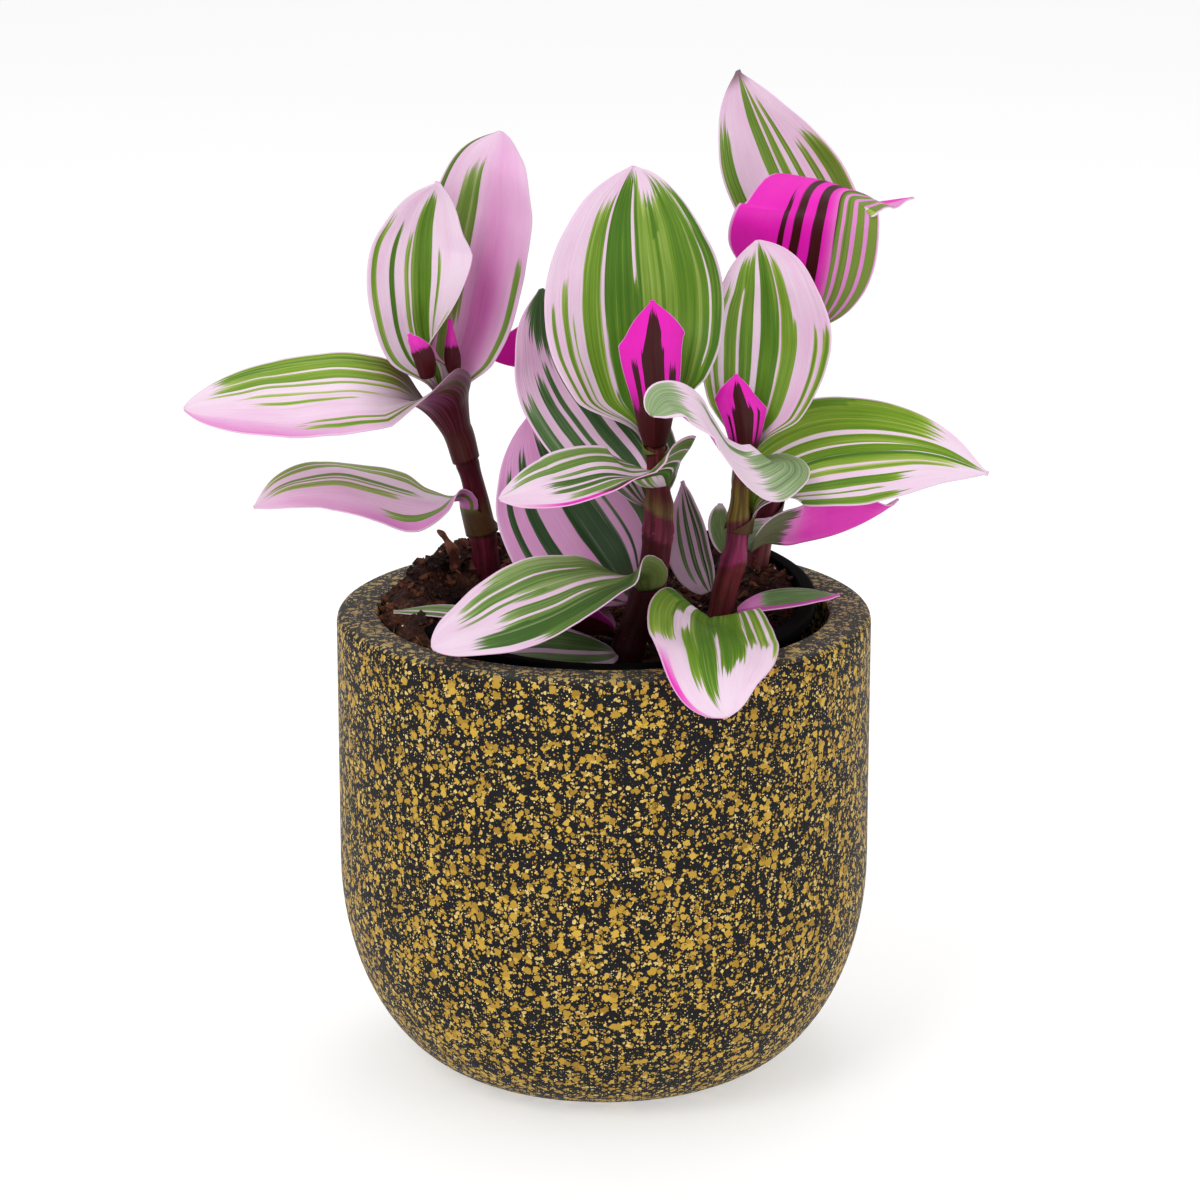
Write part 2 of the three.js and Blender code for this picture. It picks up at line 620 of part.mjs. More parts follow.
function soilSolid() {
  const level = nurseryHeight - soilDepth;
  const foot = nurseryWall + soilClearance;
  const wallAt = (height) => nurseryRadius(height) - nurseryWall - soilClearance;
  const ringAt = (radius, heightAt) =>
    Array.from({ length: soilSides }, (_, k) => {
      const angle = (k / soilSides) * 2 * Math.PI;
      const x = radius * Math.cos(angle);
      const y = radius * Math.sin(angle);
      return new THREE.Vector3(x, y, heightAt(x, y));
    });
  const rings = [ringAt(wallAt(foot), () => foot)];
  for (let i = soilRings; i > 0; i--) {
    const radius = (wallAt(level - 9) * i) / soilRings;
    const edge = smooth(i / soilRings, 0.8, 1);
    rings.push(ringAt(radius, (x, y) => level + soilRelief(x, y) * (1 - 0.5 * edge)));
  }
  const bottom = new THREE.Vector3(0, 0, foot);
  const middle = new THREE.Vector3(0, 0, level + soilRelief(0, 0));
  return closedRings(rings, bottom, middle);
}

const dryStalk = {
  path: [[-39, 20, 118], [-41.5, 20.5, 131], [-42.5, 21.5, 140], [-43.8, 22.5, 145], [-47.5, 23.5, 149]],
  radii: [2.4, 2.4, 2, 1.4, 0.9],
};

// The soil with a plain hole for each stem and for the stalk
function soil() {
  const toNursery = new THREE.Matrix4().compose(
    nurseryBase,
    new THREE.Quaternion().setFromEuler(new THREE.Euler(radians(nurseryLean), 0, 0)),
    new THREE.Vector3(1, 1, 1),
  ).invert();
  let solid = soilSolid();
  for (const [spec, sides] of [...Object.values(stems).map((s) => [s, stemSides]), [dryStalk, stalkSides]]) {
    const path = spec.path.map((point) => vector(point).applyMatrix4(toNursery).toArray());
    const deeper = vector(path[0]).addScaledVector(vector(path[1]).sub(vector(path[0])).normalize(), -0.5);
    path[0] = deeper.toArray();
    solid = solid.subtract(barAlong({ path, radii: spec.radii }, holeClearance, sides));
  }
  return placeNursery(meshOf("soil", solid, colours.soil, 0.95));
}

const part = new THREE.Group();
part.add(outerPot(), nurseryPot(), soil());
part.add(meshOf("dry_stalk", barAlong(dryStalk, 0, stalkSides), colours.stalk, 0.8));
for (const [name, spec] of Object.entries(stems)) {
  part.add(meshOf(name, barAlong(spec, 0, stemSides), colours.stem, 0.5));
}
for (const [name, leaf] of Object.entries(leaves)) {
  const small = Math.max(...halves(leaf.width)) < smallWidth;
  const grid = leafRows(leaf, small ? smallRows : largeRows, small ? smallColumns : largeColumns);
  part.add(meshOf(name, thickened(grid, bladeThickness), colours[leaf.colour], 0.5));
}

export default part;
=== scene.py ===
import math

import bpy
import numpy as np
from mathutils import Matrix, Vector, noise


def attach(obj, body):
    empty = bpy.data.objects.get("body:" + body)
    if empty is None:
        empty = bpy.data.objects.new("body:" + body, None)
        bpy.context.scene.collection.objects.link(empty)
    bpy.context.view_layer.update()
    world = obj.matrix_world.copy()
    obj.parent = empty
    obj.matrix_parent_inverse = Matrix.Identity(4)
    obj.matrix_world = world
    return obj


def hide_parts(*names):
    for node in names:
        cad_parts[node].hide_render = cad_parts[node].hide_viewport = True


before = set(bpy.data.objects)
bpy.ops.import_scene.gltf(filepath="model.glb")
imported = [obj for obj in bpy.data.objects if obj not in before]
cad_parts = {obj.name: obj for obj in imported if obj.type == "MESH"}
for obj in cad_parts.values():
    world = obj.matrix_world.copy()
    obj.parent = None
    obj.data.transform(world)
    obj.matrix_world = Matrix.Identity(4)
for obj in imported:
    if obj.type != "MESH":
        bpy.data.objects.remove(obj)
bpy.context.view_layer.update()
mm = 0.001


def hexColour(text):  # a screen colour as linear light
    values = [int(text[i : i + 2], 16) / 255 for i in (1, 3, 5)]
    return (*[v / 12.92 if v <= 0.04045 else ((v + 0.055) / 1.055) ** 2.4 for v in values], 1.0)


def smooth(low, high, x):
    t = np.clip((x - low) / (high - low), 0, 1)
    return t * t * (3 - 2 * t)


def unit(v):
    v = np.asarray(v, float)
    return v / max(np.linalg.norm(v), 1e-12)


def linked(name, data):  # a new object in the scene
    thing = bpy.data.objects.new(name, data)
    bpy.context.scene.collection.objects.link(thing)
    return thing


# A socket of a node tree, so that sums on sockets add Math nodes.
class Wire:
    def __init__(self, board, socket):
        self.board = board
        self.socket = socket

    def maths(self, operation, *values):
        return self.board.put("ShaderNodeMath", {"operation": operation}, dict(enumerate((self, *values))))

    def __add__(self, other):
        return self.maths("ADD", other)

    def __sub__(self, other):
        return self.maths("SUBTRACT", other)

    def __rsub__(self, other):
        return self.board.put("ShaderNodeMath", {"operation": "SUBTRACT"}, {0: other, 1: self})

    def __mul__(self, other):
        return self.maths("MULTIPLY", other)

    __radd__ = __add__
    __rmul__ = __mul__

    def ramp(self, low, high):  # 0 below low, 1 above high, smooth between
        links = {"Value": self, "From Min": low, "From Max": high}
        return self.board.put("ShaderNodeMapRange", {"interpolation_type": "SMOOTHSTEP"}, links)


def setStops(ramp, stops):
    while len(ramp.elements) < len(stops):
        ramp.elements.new(1.0)
    for element, (place, colour) in zip(ramp.elements, stops):
        element.position = place
        element.color = colour


# A node tree: put adds a node with its settings and the values or links of its sockets.
class Board:
    def __init__(self, tree):
        self.tree = tree

    def put(self, kind, settings=None, links=None, out=0):
        node = self.tree.nodes.new(kind)
        for key, value in (settings or {}).items():
            if key == "stops":
                setStops(node.color_ramp, value)
            else:
                setattr(node, key, value)
        for key, value in (links or {}).items():
            if isinstance(value, Wire):
                self.tree.links.new(value.socket, node.inputs[key])
            else:
                node.inputs[key].default_value = value
        return Wire(self, node.outputs[out])

    def mix(self, share, low, high):  # colours
        return self.put("ShaderNodeMix", {"data_type": "RGBA"}, {0: share, 6: low, 7: high}, out=2)

    def attribute(self, name, out=2):  # out 0 is the colour, 1 the vector, 2 the number
        return self.put("ShaderNodeAttribute", {"attribute_name": name}, out=out)

    def vector(self, x, y, z):
        return self.put("ShaderNodeCombineXYZ", None, {0: x, 1: y, 2: z})

    def noise(self, place, scale, detail=2.0, rough=0.5):
        links = {"Vector": place, "Scale": scale, "Detail": detail, "Roughness": rough}
        return self.put("ShaderNodeTexNoise", None, links)

    def objectPlace(self):
        return self.put("ShaderNodeTexCoord", out=3)

    def bump(self, height, strength, distance):
        links = {"Strength": strength, "Distance": distance, "Height": height}
        return self.put("ShaderNodeBump", None, links)


def newMaterial(name, fixed):  # fixed: values of the main shader's own sockets
    material = bpy.data.materials.new(name)
    material.use_nodes = True
    board = Board(material.node_tree)
    board.shader = material.node_tree.nodes["Principled BSDF"]
    for key, value in fixed.items():
        board.shader.inputs[key].default_value = value
    return material, board


fedSockets = {"colour": "Base Color", "rough": "Roughness", "metal": "Metallic", "normal": "Normal"}


def feed(board, **wires):
    for key, wire in wires.items():
        board.tree.links.new(wire.socket, board.shader.inputs[fedSockets[key]])


# Finishes: colours as they look on screen, scales in cells to the metre.
potFinish = {
    "stone": "#111114",
    "stoneLight": "#2a2a2f",
    "gold": "#cda643",
    "goldDark": "#9c7729",
    "goldLight": "#efdc9a",
    # painted highlight: the lighter grey of the lit rim top
    "litRimStone": "#4a4943",
    "rimGold": "#9d936f",
    "layers": [  # scale, share that is gold, smallest and largest flake in cells, push of the edge
        (480.0, 0.5, 0.28, 0.64, 0.0018),
        (820.0, 0.54, 0.22, 0.56, 0.0012),
        (1600.0, 0.42, 0.2, 0.42, 0.0),
    ],
    "rim": (0.1315, 0.133, 0.12),  # fewer flakes from this height to this one, and how many fewer; over these heights the rim's stone also takes a painted highlight
    "cloudScale": 90.0,  # where the flakes lie closer or further apart
    "cloudPull": 0.6,
    "grainScale": 1500.0,
    "warpScale": 1000.0,  # what pushes the flakes' edges
    "rough": 0.5,
    "specular": 0.1,
    "shine": 0.1,  # how metallic the gold is
}


def coloursOf(look):
    return {key: hexColour(value) for key, value in look.items() if isinstance(value, str)}


def potMaterial(look):
    material, board = newMaterial("speckledStone", {"Specular IOR Level": look["specular"]})
    colours = coloursOf(look)
    place = board.objectPlace()
    height = board.put("ShaderNodeSeparateXYZ", None, {0: place}, out=2)
    rimStart, rimEnd, rimFewer = look["rim"]
    rim = height.ramp(rimStart, rimEnd)
    fewer = rim * rimFewer
    cloud = board.noise(place, look["cloudScale"], 2.0, 0.6)
    grain = board.noise(place, look["grainScale"], 2.0)
    links = {"Vector": place, "Scale": look["warpScale"], "Detail": 1.0}
    warp = board.put("ShaderNodeTexNoise", None, links, out=1)
    warp = board.put("ShaderNodeVectorMath", {"operation": "SUBTRACT"}, {0: warp, 1: (0.5, 0.5, 0.5)})

    def flakes(scale, share, smallest, largest, push):  # a blob round the middle of some cells of a pattern
        where = board.put("ShaderNodeVectorMath", {"operation": "SCALE"}, {0: warp, "Scale": push})
        where = board.put("ShaderNodeVectorMath", {"operation": "ADD"}, {0: place, 1: where})
        links = {"Vector": where, "Scale": scale}
        distance = board.put("ShaderNodeTexVoronoi", {"feature": "F1"}, links)
        cell = Wire(board, distance.socket.node.outputs[1])
        chance, size, tint = (board.put("ShaderNodeSeparateColor", None, {0: cell}, out=k) for k in range(3))
        chosen = (share + (cloud - 0.5) * look["cloudPull"] - fewer - chance).ramp(-0.01, 0.01)
        return (size * (largest - smallest) + smallest - distance).ramp(-0.02, 0.04) * chosen, tint

    speckle = cloud * 0.4 + grain.ramp(0.5, 0.75) * 0.6
    colour = board.mix(speckle, colours["stone"], colours["stoneLight"])
    # painted highlight: the rim's top is mixed towards a lighter grey stone, as if lit from above; its flakes
    # turn a greyer gold for wear
    colour = board.mix(rim * 0.5, colour, colours["litRimStone"])
    chip = None
    for number, layer in reversed(list(enumerate(look["layers"]))):  # the finest flakes lie lowest
        flake, tint = flakes(*layer)
        gold = board.mix(tint, colours["goldDark"], colours["gold"])
        gold = board.mix(tint.ramp(0.2, 1.0) * 0.45 * number, gold, colours["goldLight"])
        colour = board.mix(flake, colour, board.mix(rim * 0.5, gold, colours["rimGold"]))
        chip = flake if chip is None else chip.maths("MAXIMUM", flake)
    feed(
        board,
        colour=colour,
        rough=look["rough"] + 0.12 * grain - 0.06 * chip,
        metal=chip * look["shine"],
        normal=board.bump(grain * 0.5 + chip * 0.2, 0.3, 0.0003),
    )
    return material


# painted shade: the black plastic is made darker than black plastic is, standing in for the shade in the gap
# between the two pots
nurseryFinish = {"shadedPlastic": "#050505", "dust": "#130f0d", "dustScale": 45.0, "rough": 0.75, "specular": 0.04}


def nurseryMaterial(look):
    material, board = newMaterial("shadedBlackPlastic", {"Specular IOR Level": look["specular"]})
    colours = coloursOf(look)
    place = board.objectPlace()
    dust = board.noise(place, look["dustScale"], 4.0).ramp(0.5, 0.75)
    feed(
        board,
        # the plastic's colour, darkened as painted shade, with dust over it
        colour=board.mix(dust, colours["shadedPlastic"], colours["dust"]),
        rough=look["rough"] + 0.2 * dust,
        normal=board.bump(board.noise(place, 700.0, 2.0), 0.15, 0.0003),
    )
    return material


soilFinish = {
    "stops": [(0.0, "#050302"), (0.42, "#1a0c08"), (0.55, "#3f2014"), (0.66, "#6b3f29"), (0.8, "#a58463")],
    "clumpScale": 160.0,
    "fineScale": 900.0,
    "rough": 0.78,
    "specular": 0.25,
    "relief": 0.0016,
}


def soilMaterial(look):
    material, board = newMaterial("pottingSoil", {"Specular IOR Level": look["specular"]})
    spot = board.objectPlace()
    clump = board.noise(spot, look["clumpScale"], 5.0, 0.65)
    fine = board.noise(spot, look["fineScale"], 3.0, 0.6)
    # The ramp runs to near black where the bump below is lowest: partly the soil's own dark browns, partly
    # painted shade in the hollows between clods.
    stops = [(place, hexColour(shade)) for place, shade in look["stops"]]
    feed(
        board,
        colour=board.put("ShaderNodeValToRGB", {"stops": stops}, {0: clump * 0.6 + fine * 0.4}),
        rough=look["rough"] + 0.15 * fine,
        normal=board.bump(fine + clump, 0.9, look["relief"]),
    )
    return material


fibreFinishes = {  # dark and light
    "rootFibre": ("#3a1f14", "#8a5f3c"),
    "paleSpeck": ("#a88d6a", "#e0cfae"),
    "soilCrumb": ("#140906", "#623a26"),
    "dryBark": ("#4a261c", "#8d5c44"),
}


def fibreMaterial(name):
    material, board = newMaterial(name, {"Roughness": 0.8, "Specular IOR Level": 0.2})
    dark, light = (hexColour(shade) for shade in fibreFinishes[name])
    streak = board.noise(board.objectPlace(), 260.0, 4.0)
    colour = board.mix(streak.ramp(0.4, 0.62), dark, light)
    feed(board, colour=colour, normal=board.bump(streak, 0.6, 0.0005))
    return material


stemFinish = {"streak": "#2a060c", "fleck": "#b5607a", "fleckScale": 700.0, "rough": 0.36, "specular": 0.12}


def stemMaterial(look):
    fixed = {"Specular IOR Level": look["specular"], "Subsurface Weight": 0.08, "Subsurface Scale": 0.002}
    material, board = newMaterial("stemSkin", fixed)
    colours = coloursOf(look)
    tint = board.attribute("tint", 0)
    streaks = board.noise(board.attribute("skin", 1), 1.0, 4.0, 0.6)  # skin: round the stem, along it
    flecks = board.noise(board.objectPlace(), look["fleckScale"], 2.0)
    darker = board.mix(streaks.ramp(0.34, 0.62) * 0.6 + 0.12, tint, colours["streak"])
    feed(
        board,
        colour=board.mix(flecks.ramp(0.66, 0.8) * 0.2, darker, colours["fleck"]),
        rough=look["rough"] + 0.2 * streaks,
        normal=board.bump(streaks + 0.3 * flecks, 0.35, 0.0006),
    )
    return material


leafFinish = {
    "pale": "#e8d3e2",
    "pink": "#dda6cf",
    "blush": "#d04fb2",
    "freshLight": "#a9bb58",
    "freshMiddle": "#71941a",
    "freshDeep": "#43710f",
    "oldLight": "#98aa8e",
    "oldMiddle": "#587a49",
    "oldDeep": "#2c4827",
    "margin": "#ecd2e4",
    "bronze": "#470a14",
    "underPale": "#dc88c8",
    "underHot": "#e215b4",
    "underDark": "#3a0409",
    "underOlive": "#63654a",
    "underGreen": "#728a30",
    "threads": {  # noise drawn out along the blade: cells across and along, shift, detail
        "fine": (52.0, 1.7, 0.0, 3.0),
        "hair": (120.0, 2.2, 9.0, 2.0),
        "slow": (5.0, 3.0, 21.0, 2.0),
        "ghost": (26.0, 1.2, 33.0, 3.0),  # faint stripes under the pale skin
        "veins": (38.0, 0.8, 55.0, 2.0),
        "ribs": (64.0, 0.8, 40.0, 1.0),
    },
    "ghostShare": 0.22,
    "grainScale": 1500.0,
    "rimStart": 0.965,  # the pale margin, as a share of the half width
    "rimShare": 0.75,
    "rough": 0.44,
    "specular": 0.22,
    "relief": 0.0006,
}


def leafMaterial(look):
    fixed = {
        "Specular IOR Level": look["specular"],
        "Subsurface Weight": 0.1,
        "Subsurface Scale": 0.002,
        "Subsurface Radius": (1.0, 0.6, 0.7),
    }
    colours = coloursOf(look)
    material, board = newMaterial("leafSkin", fixed)
    blade = board.put("ShaderNodeUVMap", {"uv_map": "blade"})
    across = board.put("ShaderNodeSeparateXYZ", None, {0: blade})
    up = board.put("ShaderNodeSeparateXYZ", None, {0: blade}, out=1)
    seed = board.attribute("seed")

    def threads(kind):
        scaleAcross, scaleAlong, shift, detail = look["threads"][kind]
        place = board.vector(across * scaleAcross, up * scaleAlong, seed + shift)
        return board.noise(place, 1.0, detail, 0.6)

    fine, hair, slow, veins = (threads(kind) for kind in ("fine", "hair", "slow", "veins"))
    green = board.attribute("green") + (fine - 0.5) * 0.55 + (hair - 0.5) * 0.16
    mask = green.ramp(0.46, 0.54)

    # The upper side: pale to pink skin, and light to deep green in the stripes.
    pink = board.attribute("pink") + (slow - 0.5) * 0.7 + (fine - 0.5) * 0.3
    pale = board.mix(pink.ramp(0.1, 1.1), colours["pale"], colours["pink"])
    pale = board.mix(pink.ramp(0.9, 2.2), pale, colours["blush"])
    pale = board.mix(threads("ghost").ramp(0.58, 0.72) * look["ghostShare"], pale, colours["oldLight"])
    tone = board.attribute("tone") + (fine - 0.5) * 0.8 + (hair - 0.5) * 0.45 + (slow - 0.5) * 0.35
    tone = tone - (1 - green.ramp(0.5, 0.7)) * 0.25
    fresh = board.attribute("fresh")
    light = board.mix(fresh, colours["oldLight"], colours["freshLight"])
    middle = board.mix(fresh, colours["oldMiddle"], colours["freshMiddle"])
    deep = board.mix(fresh, colours["oldDeep"], colours["freshDeep"])
    leafGreen = board.mix(tone.ramp(0.0, 0.55), light, middle)
    leafGreen = board.mix(tone.ramp(0.4, 1.0), leafGreen, deep)
    leafGreen = board.mix(veins.ramp(0.57, 0.7) * 0.5, leafGreen, light)
    leafGreen = board.mix(veins.ramp(0.46, 0.3) * 0.35, leafGreen, deep)
    upper = board.mix(mask, pale, leafGreen)

    # The underside: magenta between the stripes, dark or olive where they are.
    hot = board.attribute("hot")
    heat = (hot + (slow - 0.5) * 0.3).ramp(0.0, 1.0)
    underPale = board.mix(heat, colours["underPale"], colours["underHot"])
    olive = board.mix(fresh, colours["underOlive"], colours["underGreen"])
    olive = board.mix(veins.ramp(0.5, 0.3) * 0.4, olive, colours["oldDeep"])
    underDark = board.mix((hot + (fine - 0.5) * 0.8).ramp(0.1, 0.7), olive, colours["underDark"])
    lower = board.mix(mask, underPale, underDark)

    colour = board.mix(board.attribute("under"), upper, lower)
    rim = ((across - 0.5).maths("ABSOLUTE") * 2.0).ramp(look["rimStart"], 0.99) * up.ramp(0.0, 0.06)
    margin = board.mix(hot * 0.25, colours["margin"], colours["blush"])
    colour = board.mix(rim * look["rimShare"], colour, margin)
    bronze = board.attribute("bronze") * (0.75 + fine * 0.5)
    colour = board.mix(bronze.maths("MINIMUM", 1.0), colour, colours["bronze"])
    grain = board.noise(board.objectPlace(), look["grainScale"], 2.0)
    feed(
        board,
        colour=colour,
        rough=look["rough"] + 0.16 * fine - 0.06 * mask,
        normal=board.bump(threads("ribs") + 0.12 * grain + mask * 0.1, 0.28, look["relief"]),
    )
    return material


def placed(name, vertices, faces, material, slot, nodes=(), pointValues=None, sheet=None):
    mesh = bpy.data.meshes.new(name)
    points = [tuple(v) for v in np.asarray(vertices) * mm]
    mesh.from_pydata(points, [], [tuple(int(i) for i in face) for face in faces])
    mesh.polygons.foreach_set("use_smooth", [True] * len(mesh.polygons))
    for key, values in (pointValues or {}).items():
        mesh.attributes.new(key, "FLOAT", "POINT").data.foreach_set("value", np.asarray(values, np.float32))
    if sheet is not None:  # a place on the blade for each point
        corners = np.empty(len(mesh.loops), np.int64)
        mesh.loops.foreach_get("vertex_index", corners)
        places = np.asarray(sheet, np.float32)[corners]
        mesh.uv_layers.new(name="blade").data.foreach_set("uv", places.ravel())
    mesh.update()
    return finished(linked(name, mesh), material, nodes)


def finished(piece, material, nodes=()):
    if material.name not in piece.data.materials:
        piece.data.materials.append(material)
    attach(piece, "root")
    if nodes:
        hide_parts(*nodes)
    return piece


def roundAngles(sides):
    return np.arange(sides) * 2 * math.pi / sides


def lathe(profile, sides):  # profile of (radius, height) that starts and ends on the axis
    vertices = []
    rings = []
    for radius, height in profile:
        if radius < 1e-6:
            rings.append([len(vertices)] * sides)
            vertices.append((0, 0, height))
            continue
        rings.append(list(range(len(vertices), len(vertices) + sides)))
        vertices += [(radius * math.cos(a), radius * math.sin(a), height) for a in roundAngles(sides)]
    faces = []
    for low, high in zip(rings, rings[1:]):
        for k in range(sides):
            corners = [low[k], low[(k + 1) % sides], high[(k + 1) % sides], high[k]]
            face = list(dict.fromkeys(corners))
            if len(face) > 2:
                faces.append(face)
    return np.array(vertices, float), faces


def sheetFaces(rows, columns, downFirst):  # faces of two grids of points and of the edge between them
    index = np.arange(rows * columns).reshape(rows, columns)
    a, b, c, d = index[:-1, :-1], index[:-1, 1:], index[1:, 1:], index[1:, :-1]
    sides = [(a, b, c, d), (a, d, c, b)]
    first, second = sides[::-1] if downFirst else sides
    faces = np.stack(first, axis=-1).reshape(-1, 4).tolist()
    faces += (np.stack(second, axis=-1).reshape(-1, 4) + index.size).tolist()
    edge = [*index[0, :], *index[1:, -1], *index[-1, -2::-1], *index[-2:0:-1, 0]]
    for here, there in zip(edge, edge[1:] + edge[:1]):
        face = [here, here + index.size, there + index.size, there]
        faces.append([face[0], *face[:0:-1]] if downFirst else face)
    return faces


def quarter(inner, low, outer, high, steps):  # a quarter ellipse, out and up
    angles = np.linspace(0, math.pi / 2, steps + 1)
    return [(inner + (outer - inner) * math.sin(a), high - (high - low) * math.cos(a)) for a in angles]


def rounded(profile, size, steps):  # the corners of a profile, apart from its ends, made round
    result = [profile[0]]
    for before, corner, after in zip(profile, profile[1:], profile[2:]):
        before, corner, after = (np.array(p, float) for p in (before, corner, after))
        reach = min(size, np.linalg.norm(before - corner) / 2.2, np.linalg.norm(after - corner) / 2.2)
        start = corner + unit(before - corner) * reach
        end = corner + unit(after - corner) * reach
        for t in np.linspace(0, 1, steps + 1):
            result.append(tuple((1 - t) ** 2 * start + 2 * t * (1 - t) * corner + t * t * end))
    return result + [profile[-1]]


potSize = {
    "radius": 75,
    "height": 133,
    "footRadius": 36,
    "footRise": 61,
    "footBevel": 1.5,
    "footLift": 0.2,
    "wallRings": 12,
    "rimOutside": [(0.3, 1.6), (0.9, 0.8), (1.9, 0.2), (3, 0)],  # in from the wall, below the rim
    "rimInside": [(1.6, 0), (0.6, 0.4), (0.1, 1.2), (0, 2.5)],  # out from the inside wall, below the rim
    "insideRadius": 63,
    "insideFloorRadius": 30,
    "insideRise": 48,
    "floor": 14,
    "rimRound": 3,
    "sides": 192,
}


def makePot(size):
    height = size["height"]
    radius = size["radius"]
    inside = size["insideRadius"]
    floor = size["floor"]
    wall = np.linspace(size["footRise"] + 4, height - size["rimRound"], size["wallRings"])
    profile = [
        (0, 0),
        (size["footRadius"] - size["footBevel"], 0),
        *quarter(size["footRadius"], size["footLift"], radius, size["footRise"], 22)[1:],
        *[(radius, z) for z in wall],
        *[(radius - across, height - down) for across, down in size["rimOutside"]],
        *[(inside + across, height - down) for across, down in size["rimInside"]],
        *quarter(size["insideFloorRadius"], floor, inside, floor + size["insideRise"], 12)[::-1],
        (0, floor),
    ]
    vertices, faces = lathe(profile, size["sides"])
    placed("pot_speckled", vertices, faces, potMaterial(potFinish), "pot", ["pot"])


makePot(potSize)
print("pot made")

# The nursery pot and the soil have a frame of their own, which leans towards the viewer.
nurserySize = {
    "height": 111,
    "top": (1.7, 0, 137.4),
    "lean": 6,
    "rimRadius": 58,
    "lip": 3,
    "lipDepth": 4,
    "wall": 1.3,
    "baseRadius": 43.9,
    "sides": 144,
}
lean = math.radians(nurserySize["lean"])
nurseryAxis = np.array([0, -math.sin(lean), math.cos(lean)])
nurseryBase = np.array(nurserySize["top"]) - nurseryAxis * nurserySize["height"]
nurseryTurn = np.array([
    [1, 0, 0],
    [0, math.cos(lean), -math.sin(lean)],
    [0, math.sin(lean), math.cos(lean)],
])


def outOfNursery(points):
    return np.asarray(points) @ nurseryTurn.T + nurseryBase


def nurseryRadius(height):
    size = nurserySize
    widening = size["rimRadius"] - size["lip"] - size["baseRadius"]
    return size["baseRadius"] + widening * height / size["height"]


def makeNursery(size):
    top = size["height"]
    rim = size["rimRadius"]
    wall = size["wall"]
    profile = [
        (0, 0),
        (size["baseRadius"] - 2, 0),
        (nurseryRadius(2), 2),
        *[(nurseryRadius(z), z) for z in np.linspace(8, top - 12, 8)],
        (nurseryRadius(top - size["lipDepth"]), top - size["lipDepth"]),
        (rim - 0.4, top - size["lipDepth"]),
        (rim, top - 0.8),
        (rim - 0.8, top),
        (nurseryRadius(top) - wall, top),
        (nurseryRadius(wall) - wall, wall),
        (0, wall),
    ]
    vertices, faces = lathe(rounded(profile, 0.5, 2), size["sides"])
    shadedPlastic = nurseryMaterial(nurseryFinish)
    placed("nursery_shell", outOfNursery(vertices), faces, shadedPlastic, "nursery_pot", ["nursery_pot"])


makeNursery(nurserySize)

soilBed = {
    "depth": 8,
    "clearance": 0.35,
    "rings": 84,
    "sides": 168,
    "edgeDrop": 9,  # the outermost ring takes its radius this far below the level
    "crumble": 2.6,  # height of the crumbs in the surface
    "seed": 11,
    "mounds": [(-41, 26, 9, 15), (44, 22, 8, 8)],  # middle across and back, reach, height
    "hollows": [(-4, -34, 22, 8), (33, 34, 13, 5), (-45, 8, 6, 6)],
}


def soilRelief(x, y):
    def spots(listed, start):
        for cx, cy, size, high in listed:
            start = start + high * np.exp(-((x - cx) ** 2 + (y - cy) ** 2) / size**2)
        return start

    bumps = 1.2 * np.sin(x / 5.1 + 1) * np.cos(y / 6.3) + 0.8 * np.sin(x / 2.9 + y / 3.7)
    return spots(soilBed["mounds"], bumps) - spots(soilBed["hollows"], 0)


def makeSoil(bed):
    level = nurserySize["height"] - bed["depth"]
    foot = nurserySize["wall"] + bed["clearance"]
    count = bed["sides"]
    angles = roundAngles(count)

    def wallAt(height):
        return nurseryRadius(height) - nurserySize["wall"] - bed["clearance"]

    reach = wallAt(level - bed["edgeDrop"])
    rings = [[(wallAt(foot) * math.cos(a), wallAt(foot) * math.sin(a), foot) for a in angles]]
    for i in range(bed["rings"], 0, -1):
        share = i / bed["rings"]
        x = reach * share * np.cos(angles)
        y = reach * share * np.sin(angles)
        low = level + soilRelief(x, y) * (1 - 0.5 * smooth(0.8, 1, share))
        places = [Vector((px * 0.16, py * 0.16, bed["seed"])) for px, py in zip(x, y)]
        rough = np.array([noise.fractal(place, 0.7, 2.2, 5) for place in places])
        rings.append(list(zip(x, y, low + bed["crumble"] * rough * (1 - smooth(0.97, 1, share)))))
    vertices = [point for ring in rings for point in ring]
    bottom = len(vertices)
    vertices += [(0, 0, foot), (0, 0, level + float(soilRelief(0.0, 0.0)))]
    faces = []
    for i in range(len(rings) - 1):
        for k in range(count):
            n = (k + 1) % count
            faces.append([i * count + k, i * count + n, (i + 1) * count + n, (i + 1) * count + k])
    last = (len(rings) - 1) * count
    for k in range(count):
        n = (k + 1) % count
        faces.append([bottom, n, k])
        faces.append([bottom + 1, last + k, last + n])
    return placed("soil_bed", outOfNursery(vertices), faces, soilMaterial(soilFinish), "soil", ["soil"])


spillBeds = {  # soil over the lip at the left, and heaped inside it at the right back
    "soil_spill": {  # angles in degrees, radii from the pot's middle, heights above the rim's plane
        "from": 108, "to": 222, "radii": [45, 51.5, 55.5, 59, 62.5], "heights": [-7.5, 0.5, 1.2, -2.5, -6.5],
        "rows": 26, "columns": 130, "thickness": 2.5, "crumble": 2.4, "sink": 7,
    },
    "soil_heap": {
        "from": 4, "to": 66, "radii": [37, 43, 48, 52.5, 54.5], "heights": [-11, -4, -0.5, 0, -2],
        "rows": 26, "columns": 76, "thickness": 2.5, "crumble": 2.4, "sink": 7,  # sink: of its two ends
    },
}


